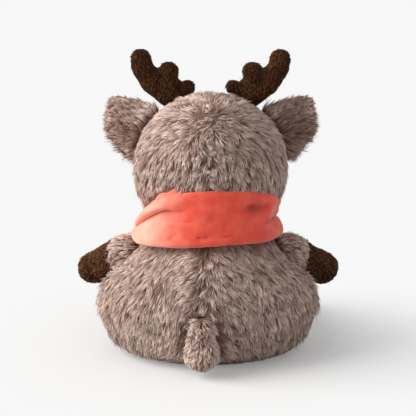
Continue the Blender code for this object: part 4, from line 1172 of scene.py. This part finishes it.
# each lobe: start (out, up), end (out, up), radius at its start and at its end, in millimetres
ANTLER_LOBES = (
    ((0, -1), (17.5, 14.5), 7.8, 9.0), ((17.5, 14.5), (26.5, 27), 9.3, 8.5),
    ((26.5, 27), (27.6, 33.8), 8.5, 8.0), ((10, 9), (5.6, 23.4), 8.2, 8.2),
    ((12, 11), (15.5, 20.6), 8.2, 6.6), ((1.5, 3), (-9.6, 11.4), 6.6, 5.9), ((6, 6), (1.5, 13), 7.6, 6.6),
)


def antler_form(side, root):
    """Round-ended lobes sewn into one flat-sided form."""
    bm = bmesh.new()
    for start, end, first, last in ANTLER_LOBES:
        a, b = (Vector((side * x * MM, 0, z * MM)) for x, z in (start, end))
        lobe = limb_form(Vector(a), (b - a).normalized(), (first * MM, last * MM, (b - a).length), 1 * MM)
        lobe_mesh = bpy.data.meshes.new("lobe")
        lobe.to_mesh(lobe_mesh)
        lobe.free()
        bm.from_mesh(lobe_mesh)
        bpy.data.meshes.remove(lobe_mesh)
    bmesh.ops.transform(bm, matrix=Matrix.Diagonal((1, ANTLER_FLAT_SHARE, 1, 1)), verts=bm.verts)
    bmesh.ops.translate(bm, vec=root + UP * 0.8 * MM, verts=bm.verts)
    return bm


ANTLER_PILE = Pile(1.7, 3.4 * MM, 0.45 * MM, 0.5, 0.2, 0.0, 0.4, 0.4 * MM, 3, 0.45, 0.0, 0.5)


def antler_keep(p, flat):
    return (head_out(p) > 0.5 * MM) & (np.linalg.norm(flat, axis=1) > 0)


for label, side in SIDES:
    root = JOINTS[f"{label}_antler_bend"]
    cover = piece(f"antler_velour_{label}", antler_form(side, root), VELOUR)
    remeshed(cover, 1.1 * MM, 5)
    rumpled(cover, 0.25 * MM, 8 * MM, 41)
    # painted light: besides random patches, the pile is lighter where it faces up and darker where it faces
    # down
    grow(cover, ANTLER_PILE, antler_keep, lambda p, n: np.tile((0, 0, -1.0), (len(p), 1)),
         tone_of=lambda p, n: 0.3 * wander(p, 7 * MM, 51) + 0.22 * n[:, 2])
    dress(cover, f"antler_{label}", f"{label}_antler")


# Face: short fur, muzzle, nose, mouth and eyes

EYE_PLACES = [np.array([sum(pair) / 2 for pair in zip(*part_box(f"eye_{label}"))]) for label, side in SIDES]
EYE_RADIUS = 6.5 * MM
EYE_DOME = 3 * MM
MUZZLE_LOW, MUZZLE_HIGH = (np.array(corner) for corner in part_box("muzzle_cover"))
MUZZLE_MIDDLE = (MUZZLE_LOW + MUZZLE_HIGH) / 2
MUZZLE_HALF = (MUZZLE_HIGH - MUZZLE_LOW) / 2


def face_keep(p, flat):
    good = head_keep(p, flat)
    for place in EYE_PLACES:
        seat = np.array(HEAD) + head_normals(place) * HEAD_RADIUS
        good &= np.linalg.norm(p - seat, axis=1) > EYE_RADIUS + 0.6 * MM
    q = (p - MUZZLE_MIDDLE) / (MUZZLE_HALF + 0.5 * MM)
    return good & ((np.hypot(q[:, 0], q[:, 2]) > 1) | (p[:, 1] > HEAD.y))


def face_comb(p, n):
    """Away from the muzzle, up over the brow and back over the cheeks."""
    way = p - (MUZZLE_MIDDLE + np.array((0, 0, 4 * MM)))
    way = unit(way)
    way[:, 2] -= 0.25
    return way


def face_length(p, n):
    near = np.min([np.linalg.norm(p - place, axis=1) for place in EYE_PLACES], axis=0)
    return np.minimum(head_length(p, n), (3.2 + 3 * step(8 * MM, 22 * MM, near)) * MM)


cover = piece("face_fur", merged("head_face"), FUR)
grow(cover, FACE_PILE, face_keep, face_comb, face_length, head_normals, lambda p, n: np.full(len(p), 0.08))
dress(cover, "head_face", "head")

MUZZLE_PILE = Pile(1.5, 3 * MM, 0.65 * MM, 0.65, 0.3, 0.0, 0.4, 0.3 * MM, 3, 0.3, 0.0, 0.4)
NOSE_LOW, NOSE_HIGH = (np.array(corner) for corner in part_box("nose"))
NOSE_MIDDLE = (NOSE_LOW + NOSE_HIGH) / 2
# the mouth's stitches: how far down they start from the nose, their reach to each side and their curve
MOUTH_DROP = 8 * MM
MOUTH_HALF = 11 * MM
MOUTH_CURVE = 3 * MM
MOUTH_TURN = math.pi * 0.8


def mouth_line(p):
    """Distance across the muzzle's face to the mouth's stitches: one down, then one out to each side."""
    x, z = p[:, 0] - NOSE_MIDDLE[0], p[:, 2] - NOSE_LOW[2]
    down = np.hypot(x, np.maximum(z, 0) + np.maximum(-MOUTH_DROP - z, 0))
    curve = -MOUTH_DROP - MOUTH_CURVE * np.sin(np.clip(np.abs(x) / MOUTH_HALF, 0, 1) * MOUTH_TURN)
    across = np.hypot(np.maximum(np.abs(x) - MOUTH_HALF, 0), z - curve)
    return np.minimum(down, across)


def muzzle_keep(p, flat):
    outwards = ((p - MUZZLE_MIDDLE) * flat).sum(1) > 0
    clear = (mouth_line(p) > 0.9 * MM) | (p[:, 1] > MUZZLE_MIDDLE[1])
    q = (p - NOSE_MIDDLE) / ((NOSE_HIGH - NOSE_LOW) / 2)
    return outwards & clear & (np.linalg.norm(q, axis=1) > 0.9) & (head_out(p) > 0.5 * MM)


cover = piece("muzzle_velour", merged("muzzle_cover"), CREAM)
grow(cover, MUZZLE_PILE, muzzle_keep, lambda p, n: unit(p - NOSE_MIDDLE) + np.array((0, 0.6, -0.2)))
dress(cover, "muzzle_cover", "head")
muzzle_skin = merged("muzzle_cover")
muzzle_tree = BVHTree.FromBMesh(muzzle_skin)
muzzle_skin.free()
NOSE_PILE = Pile(2.2, 1.4 * MM, 0.45 * MM, 0.6, 0.4, 0.0, 0.3, 0.2 * MM, 3, 0.3, 0.0, 0.4)
cover = piece("nose_velour", merged("nose"), VELOUR)
grow(cover, NOSE_PILE, lambda p, flat: flat[:, 1] < 0.3, lambda p, n: p - NOSE_MIDDLE)
dress(cover, "nose", "head")


def stitched(name, line):
    """A thread along points on the muzzle, lying in its pile."""
    curve = bpy.data.curves.new(name, "CURVE")
    curve.dimensions = "3D"
    curve.bevel_depth = 0.4 * MM
    curve.use_fill_caps = True
    spline = curve.splines.new("POLY")
    found = []
    for x, z in line:
        hit = muzzle_tree.ray_cast(Vector((x, MUZZLE_LOW[1] - 0.02, z)), Vector((0, 1, 0)))
        if hit[0] is not None:
            found.append(hit[0] + hit[1] * 0.5 * MM)
    spline.points.add(len(found) - 1)
    for point, place in zip(spline.points, found):
        point.co = (*place, 1)
    thread = bpy.data.objects.new(name, curve)
    curve.materials.append(THREAD)
    bpy.context.scene.collection.objects.link(thread)
    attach(thread, "head")


mouth_top = NOSE_LOW[2] + 0.5 * MM
stitched("mouth_stitch_down", [(NOSE_MIDDLE[0], mouth_top - k * 0.85 * MM) for k in range(11)])
smile = []
for k in range(-12, 13):
    dip = MOUTH_DROP + MOUTH_CURVE * math.sin(abs(k) / 12 * MOUTH_TURN)
    smile.append((NOSE_MIDDLE[0] + MOUTH_HALF * k / 12, NOSE_LOW[2] - dip))
stitched("mouth_stitch_across", smile)


def eye_form(place):
    """A domed safety eye with its rim, on the face's surface, turned round its shank."""
    out = Vector(place - np.array(HEAD)).normalized()
    seat = HEAD + out * (HEAD_RADIUS - 3.3 * MM)
    turns = [math.pi / 2 * k / 10 for k in range(11)]
    dome = [(2 * MM + EYE_DOME * 1.5 * math.sin(a), EYE_RADIUS * math.cos(a)) for a in turns]
    outline = [(0.0, 0.0), (0.0, EYE_RADIUS - 0.5 * MM), (0.4 * MM, EYE_RADIUS), *dome]
    return turned(outline, seat, out, 40)


for (label, side), place in zip(SIDES, EYE_PLACES):
    eye = piece(f"eye_dome_{label}", eye_form(place), EYE)
    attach(eye, "head")
    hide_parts(f"eye_{label}")


# Scarf


def torso_out(angles, heights, x_shift, y_shift):
    """How far the body's surface lies from the head's axis, at angles round it and at heights."""
    near, far = np.zeros_like(heights), np.full_like(heights, 0.12)
    for _ in range(24):
        out = (near + far) / 2
        spot = np.stack([x_shift + out * np.cos(angles), y_shift + out * np.sin(angles), heights], axis=-1)
        inside = bulge(spot) < 1
        near, far = np.where(inside, out, near), np.where(inside, far, out)
    return near


SCARF_COLUMNS = 330
SCARF_ROWS = 108
SKIRT = 61 * MM
SKIRT_SIDE = 3.5 * MM
SCARF_FRONT_ANGLES = (-84, 264)
# the scarf's own length and width laid flat
BAND_LENGTH = 360 * MM
BAND_WIDTH = 72 * MM

# dents in the scarf: from (degrees, height) to (degrees, height), half width and depth in millimetres
DENTS = (
    ((107, 127.5), (121, 126.5), 3.6, 1.2), ((120, 126.4), (136, 124.6), 4.4, 4.6),
    ((82, 104.8), (87.5, 104.9), 1.3, 1.9), ((87, 105), (100, 105.3), 1.5, 0.6),
    ((99.5, 105.4), (106, 105.7), 1.3, 1.7), ((54, 116.8), (75, 116), 1.0, 0.8),
    ((148, 112), (166, 110), 1.8, 2.6), ((112, 113), (132, 116), 2.4, 0.9), ((62, 102), (66, 106), 2.0, 0.9),
    ((92, 120), (110, 116), 3.0, 0.7), ((36, 106), (44, 104), 3.0, 0.8),
    ((112, 133.0), (138, 129.0), 3.2, -0.9),
    ((112, 118.5), (140, 116.5), 4.0, -0.9), ((150, 111.4), (166, 110.4), 0.9, 2.6),
    ((70, 128), (92, 131), 4.0, 0.7),
)
# the scarf's outer face on the deer's right: height and distance from the neck's axis, in millimetres
RIGHT_FACE = ((94, 56.8), (97.5, 57.6), (101.5, 57.0), (105, 55), (107.5, 52.2), (109.5, 49.6), (111.5, 52.6),
              (114, 54.2), (118, 54.0), (122, 54.4))


def dents(degrees, heights):
    """How deep the cloth is dented at angles and heights."""
    deep = np.zeros(np.broadcast(degrees, heights).shape)
    round_way = HEAD_RADIUS * math.pi / 180
    for (a, low), (b, high), half, depth in DENTS:
        start, end = np.array((a * round_way, low * MM)), np.array((b * round_way, high * MM))
        way = end - start
        across, up = degrees * round_way - start[0], heights - start[1]
        t = np.clip((across * way[0] + up * way[1]) / (way @ way), 0, 1)
        away = np.hypot(across - t * way[0], up - t * way[1])
        deep += depth * MM * np.exp(-((away / (half * MM)) ** 2))
    return deep


def evenly(out, high):
    """Each column's rows moved along its path until they are evenly spaced."""
    runs = np.hypot(np.diff(out, axis=1), np.diff(high, axis=1))
    runs = np.concatenate([np.zeros((len(out), 1)), np.cumsum(runs, axis=1)], axis=1)
    places = [np.linspace(0, run[-1], SCARF_ROWS) for run in runs]
    out = np.stack([np.interp(at, run, row) for at, run, row in zip(places, runs, out)])
    high = np.stack([np.interp(at, run, row) for at, run, row in zip(places, runs, high)])
    return out, high


def scarf_sections():
    """The band's path across its width at every angle: turned-in hem, outer face with its folds,
    the fold at the top, and the layer that stands up behind it. Gives angles and (out, height)."""
    degrees = np.linspace(*SCARF_FRONT_ANGLES, SCARF_COLUMNS)[:, None]
    a = np.radians(degrees)
    low, top, fold = (level(table, degrees) for table in (LOW_EDGE, TOP_EDGE, FOLD_LINE))
    under = level(UNDER_EDGE, degrees)
    left = step(2, 16, degrees) * (1 - step(52, 74, degrees))
    right = step(132, 160, degrees) * (1 - step(205, 235, degrees))
    pinch = hump(degrees, 8, 9)
    skirt = SKIRT + SKIRT_SIDE * np.cos(a) + 0.6 * MM
    lie = 1.6 * MM

    def face(z):
        """The outer face before its folds: straight from the hem to the head, round the head and
        clear of the body."""
        hug = HEAD_RADIUS + 2.6 * MM
        top_out = np.sqrt(hug**2 - np.minimum(np.abs(HEAD.z - top), hug * 0.99) ** 2)
        straight = skirt + (top_out - skirt) * np.clip((z - low) / (top - low), 0, 1)
        round_head = np.sqrt(np.maximum(hug**2 - (HEAD.z - z) ** 2, 0))
        shoulder = torso_out(a + 0 * z, np.minimum(z, 105 * MM), HEAD.x, HEAD.y) + lie
        heights, reaches = (np.array(row) * MM for row in zip(*RIGHT_FACE))
        aside = np.interp(z, heights, reaches)
        clear = np.sqrt(np.maximum((HEAD_RADIUS + 1.3 * MM) ** 2 - (HEAD.z - z) ** 2, 0))
        aside = np.maximum(aside, clear)
        peak = np.maximum(straight, round_head)
        return np.maximum(peak + (aside - peak) * right, shoulder)

    parts = []
    # the hem, turned in under the band
    t = np.linspace(0, 1, 5)[None, :]
    hem = 104 * MM
    z = hem + (low + 3 * MM - hem) * t
    inner = torso_out(a + 0 * z, z, HEAD.x, HEAD.y) + lie
    parts.append((inner, z))
    turn = np.linspace(math.pi, 2 * math.pi, 9)[None, 1:-1]
    last, edge = inner[:, -1:], face(low + 3 * MM)
    parts.append(((last + edge) / 2 + (edge - last) / 2 * np.cos(turn), low + 3 * MM + 3 * MM * np.sin(turn)))
    # the outer face up to the fold
    t = np.linspace(0, 1, 40)[None, :] ** 0.9
    z = low + 3 * MM + (fold - low - (3 + 0.8 * left) * MM) * t
    tuck = 5.5 * MM * left
    r = face(z) - tuck * step(0.5, 1, t) ** 2 + 1.6 * left * MM * np.sin(math.pi * t) ** 0.8
    parts.append((r - dents(degrees, z), z))
    # the roll's lower lip
    t = np.linspace(0, 1, 6)[None, 1:-1]
    over = 2.4 * MM * left
    lip = face(fold) + (over + tuck) * t - tuck - dents(degrees, fold)
    parts.append((lip, fold - left * (0.8 * (1 - t) + 0.9 * np.sin(math.pi * t)) * MM))
    # the roll, up to the top and over it
    t = np.linspace(0, 1, 28)[None, :]
    z = fold + (top - fold) * t
    swell = (over + 1.0 * MM * left) * (1 - step(0.1, 1, t)) + 1.3 * MM * np.sin(math.pi * t) * left
    parts.append((face(z) + swell - dents(degrees, z), z))
    crest = face(top)
    turn = np.linspace(0, math.pi, 7)[None, 1:-1]
    parts.append((crest - 1.0 * MM + 1.0 * MM * np.cos(turn), top + 0.9 * MM * np.sin(turn)))
    # down behind the roll, then up and over as the layer behind it
    valley = top - 3 * MM
    second = np.maximum(under, top - 2 * MM)
    t = np.linspace(0, 1, 4)[None, 1:]
    behind = crest - 2.2 * MM
    parts.append((behind + 0 * t, top + (valley - top) * t))
    t = np.linspace(0, 1, 9)[None, 1:]
    z = valley + (second - valley) * t
    stand = np.sqrt(np.maximum((HEAD_RADIUS + 3.2 * MM) ** 2 - (HEAD.z - z) ** 2, 0)) - 0.4 * MM
    parts.append((np.minimum(behind - 0.9 * MM * t, stand), z))
    t = np.linspace(0, 1, 5)[None, 1:]
    inner = np.sqrt(np.maximum((HEAD_RADIUS + 1.6 * MM) ** 2 - (HEAD.z - second + 5 * MM * t) ** 2, 0))
    parts.append((np.minimum(inner, parts[-1][0][:, -1:] - 0.6 * MM * t), second - 5 * MM * t))
    out = np.concatenate([np.broadcast_to(r, (SCARF_COLUMNS, r.shape[1])) for r, z in parts], axis=1)
    high = np.concatenate([np.broadcast_to(z, (SCARF_COLUMNS, r.shape[1])) for r, z in parts], axis=1)
    out = out - 1.2 * MM * pinch * hump(high, fold, 5 * MM)
    out = out - 1.0 * MM * hump(degrees, 115, 26) * step(-16 * MM, -4 * MM, high - top)
    out, high = evenly(out, high)
    front = step(-50, -84, degrees) + step(230, 264, degrees)
    pleats = front * 1.1 * MM * np.sin(high / (2.6 * MM) + 0.6)
    return a, out + pleats, drawn_in(degrees, high)


def cloth_grid(name, places, wide, tall):
    """A sheet of cloth through a grid of places, with its own size in metres as its UV map."""
    columns, rows = places.shape[:2]
    bm = bmesh.new()
    layer = bm.loops.layers.uv.new("cloth")
    bmesh.ops.create_grid(bm, x_segments=columns - 1, y_segments=rows - 1, size=0.5, calc_uvs=False)
    for v in bm.verts:
        i, j = round((v.co.x + 0.5) * (columns - 1)), round((v.co.y + 0.5) * (rows - 1))
        for corner in v.link_loops:
            corner[layer].uv = (i / (columns - 1) * wide, j / (rows - 1) * tall)
        v.co = places[i, j]
    softened(bm, [v for v in bm.verts if not v.is_boundary], 0.35)
    bmesh.ops.recalc_face_normals(bm, faces=bm.faces)
    sheet = piece(name, bm, CORAL)
    wall = sheet.modifiers.new("cloth", "SOLIDIFY")
    wall.thickness = SCARF_CLOTH
    wall.offset = 0
    return sheet


angles, out, high = scarf_sections()
axis = np.array((HEAD.x, HEAD.y))
places = np.stack([axis[0] + out * np.cos(angles), axis[1] + out * np.sin(angles), high], axis=-1)
ripple = wander(places.reshape(-1, 3), 9 * MM, 61).reshape(out.shape) * 0.35 * MM
places[..., 0] += ripple * np.cos(angles)
places[..., 1] += ripple * np.sin(angles)
band = cloth_grid("scarf_band", places, BAND_LENGTH, BAND_WIDTH)
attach(band, "torso")
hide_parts("scarf_wrap")


# Scarf knot and its two ends

KNOT_LOW, KNOT_HIGH = (np.array(corner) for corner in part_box("scarf_knot"))
KNOT_MIDDLE = (KNOT_LOW + KNOT_HIGH) / 2
KNOT_HALF = (KNOT_HIGH - KNOT_LOW) / 2
KNOT_CLOTH = 0.07


def knot_form():
    """A drawn-in pillow of cloth: pinched at its sides and creased where it passes round itself."""
    turns = [math.pi * k / 64 for k in range(65)]
    bm = turned([(-math.cos(a), math.sin(a)) for a in turns], Vector(), UP, 96)
    layer = bm.loops.layers.uv.new("cloth")
    for face in bm.faces:
        x, y, _ = face.calc_center_median()
        middle = math.atan2(y, x)
        for corner in face.loops:
            x, y, z = corner.vert.co
            turn = math.atan2(y, x) - middle if math.hypot(x, y) > 0.01 else 0
            turn = (turn + math.pi) % (2 * math.pi) - math.pi
            rise = math.acos(max(-1, min(1, -z)))
            corner[layer].uv = KNOT_CLOTH * (middle + turn) / (2 * math.pi), KNOT_CLOTH * rise / math.pi
    for v in bm.verts:
        x, y, z = v.co
        front = step(-0.2, 0.8, -y)
        square = (abs(x) ** 3 + abs(y) ** 3 + abs(z) ** 3) ** (-1 / 3)
        lean = x * 2.2 + 0.5 * math.sin(2.5 * z + 0.6)
        crease = 0.1 * (hump(lean, -0.75, 0.16) + hump(lean, 0.3, 0.13) + 0.8 * hump(lean, 1.2, 0.15))
        pinch = 1 - 0.18 * hump(z, 0, 0.35) * step(0.6, 1.0, abs(x))
        swell = 1 + 0.05 * math.cos(3.1 * lean)
        size = square * (swell - crease * front) * pinch
        v.co = Vector((x * KNOT_HALF[0], y * KNOT_HALF[1], z * KNOT_HALF[2])) * size + Vector(KNOT_MIDDLE)
    return bm


knot = piece("scarf_knot_cloth", knot_form(), CORAL)
dress(knot, "scarf_knot", "torso")

END_LENGTH = 31 * MM
END_HALF_WIDTH = 12 * MM
END_ROOT_HALF_WIDTH = 5.5 * MM
END_FOLD = 2.6 * MM
END_SPLAY = math.radians(16)
END_SLOPE = math.radians(13)
# a scarf end's cloth as its ribs see it, and laid flat
END_WEAVE = (0.034, 0.03)

for label, side in SIDES:
    root = np.array(JOINTS[f"{label}_scarf_end_lift"])
    along, across = np.linspace(-0.05, 1, 45), np.linspace(-1, 1, 41)
    s, u = np.meshgrid(along, across, indexing="ij")
    open_share = np.clip(s, 0, 1) ** 0.5
    half = END_ROOT_HALF_WIDTH + (END_HALF_WIDTH - END_ROOT_HALF_WIDTH) * open_share
    fold = END_FOLD * np.cos(math.pi * u) * np.sin(math.pi * np.clip(s, 0, 1) * 0.75)
    pleats = 1.2 * MM * np.cos(u * 9 + side) * (1 - np.clip(s * 1.4, 0, 1))
    curl = -1.2 * MM * np.abs(u) ** 6 * np.clip(s, 0, 1)
    down = np.array((0, -math.sin(END_SLOPE), -math.cos(END_SLOPE)))
    out = np.array((0, -math.cos(END_SLOPE), math.sin(END_SLOPE)))
    aside = side * math.tan(END_SPLAY) * END_LENGTH * np.maximum(s, 0) + u * half
    hem = 1 - 0.05 * np.cos(u * 2.4 + side * 0.5) * np.clip(s, 0, 1)
    places = (
        root
        + aside[..., None] * np.array((1, 0, 0))
        + (END_LENGTH * s * hem)[..., None] * down
        + (fold + pleats + curl)[..., None] * out
    )
    flap = cloth_grid(f"scarf_flap_{label}", places, *END_WEAVE)
    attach(flap, f"{label}_scarf_end")
    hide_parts(f"scarf_end_{label}")


# What lies inside keeps its CAD form and gets its finish

INSIDES = (
    (FIBRE, ("torso_filling", "head_filling", "neck_wad", "tail_filling", "muzzle_filling",
             "antler_filling_left", "antler_filling_right", "arm_left_filling", "arm_right_filling",
             "leg_left_filling", "leg_right_filling")),
    (PELLETS, ("pellet_bag",)),
    (WASHER, ("eye_washer_left", "eye_washer_right")),
)

for made, names in INSIDES:
    for name in names:
        mesh = NODES[name].data
        mesh.materials.clear()
        mesh.materials.append(made)


# Room, light and camera

FLOOR_RADIUS = 9.0
SHADOW_REACH = (0.1, 0.27)
GLOW = (0.93, 0.935, 0.935)
FLOOR_OWN_SHADE = 0.2
TARGET = Vector((0, TORSO_AXIS.y, 115.7 * MM))
CAMERA_UP = math.radians(12)
CAMERA_AWAY = 0.95
PIXEL = 0.8 * MM
PICTURE = 416


def room():
    """A pale floor that keeps the deer's shadow near it and turns into an even backdrop further off."""
    bm = bmesh.new()
    bmesh.ops.create_circle(bm, cap_ends=True, segments=96, radius=FLOOR_RADIUS)
    mesh = bpy.data.meshes.new("floor")
    bm.to_mesh(mesh)
    bm.free()
    floor = bpy.data.objects.new("floor", mesh)
    bpy.context.scene.collection.objects.link(floor)
    made, tree, shader = finish("pale_floor", 0.85, specular=0.05)
    shader.inputs["Base Color"].default_value = (0.6, 0.6, 0.6, 1)
    seen = tree.nodes.new("ShaderNodeLightPath").outputs["Is Camera Ray"]
    tree.links.new(ranged(tree, seen, 0, 1, 0, FLOOR_OWN_SHADE, "LINEAR"), shader.inputs["Emission Strength"])
    shader.inputs["Emission Color"].default_value = (1, 1, 1, 1)
    glow = tree.nodes.new("ShaderNodeEmission")
    glow.inputs["Color"].default_value = (*GLOW, 1)
    away = ranged(tree, length_of(tree, own_place(tree)), *SHADOW_REACH, kind="LINEAR")
    blended = tree.nodes.new("ShaderNodeMixShader")
    tree.links.new(product(tree, away, seen), blended.inputs["Fac"])
    tree.links.new(shader.outputs["BSDF"], blended.inputs[1])
    tree.links.new(glow.outputs["Emission"], blended.inputs[2])
    tree.links.new(blended.outputs["Shader"], tree.nodes["Material Output"].inputs["Surface"])
    mesh.materials.append(made)


def sky():
    """Even light from all round, and the backdrop's own shade where the camera looks past the floor."""
    world = bpy.data.worlds.new("studio")
    bpy.context.scene.world = world
    world.use_nodes = True
    tree = world.node_tree
    light = tree.nodes["Background"]
    light.inputs["Color"].default_value = (1, 0.995, 0.99, 1)
    light.inputs["Strength"].default_value = 0.6
    shown = tree.nodes.new("ShaderNodeBackground")
    shown.inputs["Color"].default_value = (*GLOW, 1)
    path = tree.nodes.new("ShaderNodeLightPath")
    pick = tree.nodes.new("ShaderNodeMixShader")
    tree.links.new(path.outputs["Is Camera Ray"], pick.inputs["Fac"])
    tree.links.new(light.outputs["Background"], pick.inputs[1])
    tree.links.new(shown.outputs["Background"], pick.inputs[2])
    tree.links.new(pick.outputs["Shader"], tree.nodes["World Output"].inputs["Surface"])


def key_light():
    """One broad lamp on the deer's left."""
    light = bpy.data.lights.new("key", "SUN")
    light.angle = math.radians(55)
    light.energy = 4.6
    light.color = (1, 0.995, 0.985)
    lamp = bpy.data.objects.new("key", light)
    bpy.context.scene.collection.objects.link(lamp)
    lamp.rotation_mode = "QUATERNION"
    lamp.rotation_quaternion = Vector((0.88, 0.08, 0.44)).to_track_quat("Z", "Y")


room()
sky()
key_light()

camera = bpy.data.objects.new("camera", bpy.data.cameras.new("camera"))
bpy.context.scene.collection.objects.link(camera)
bpy.context.scene.camera = camera
away = Vector((0, math.cos(CAMERA_UP), math.sin(CAMERA_UP)))
camera.location = TARGET + away * CAMERA_AWAY
camera.rotation_mode = "QUATERNION"
camera.rotation_quaternion = away.to_track_quat("Z", "Y")
camera.data.sensor_width = 36
camera.data.lens = 36 * CAMERA_AWAY / (PIXEL * PICTURE)
bpy.context.scene.view_settings.view_transform = "Standard"
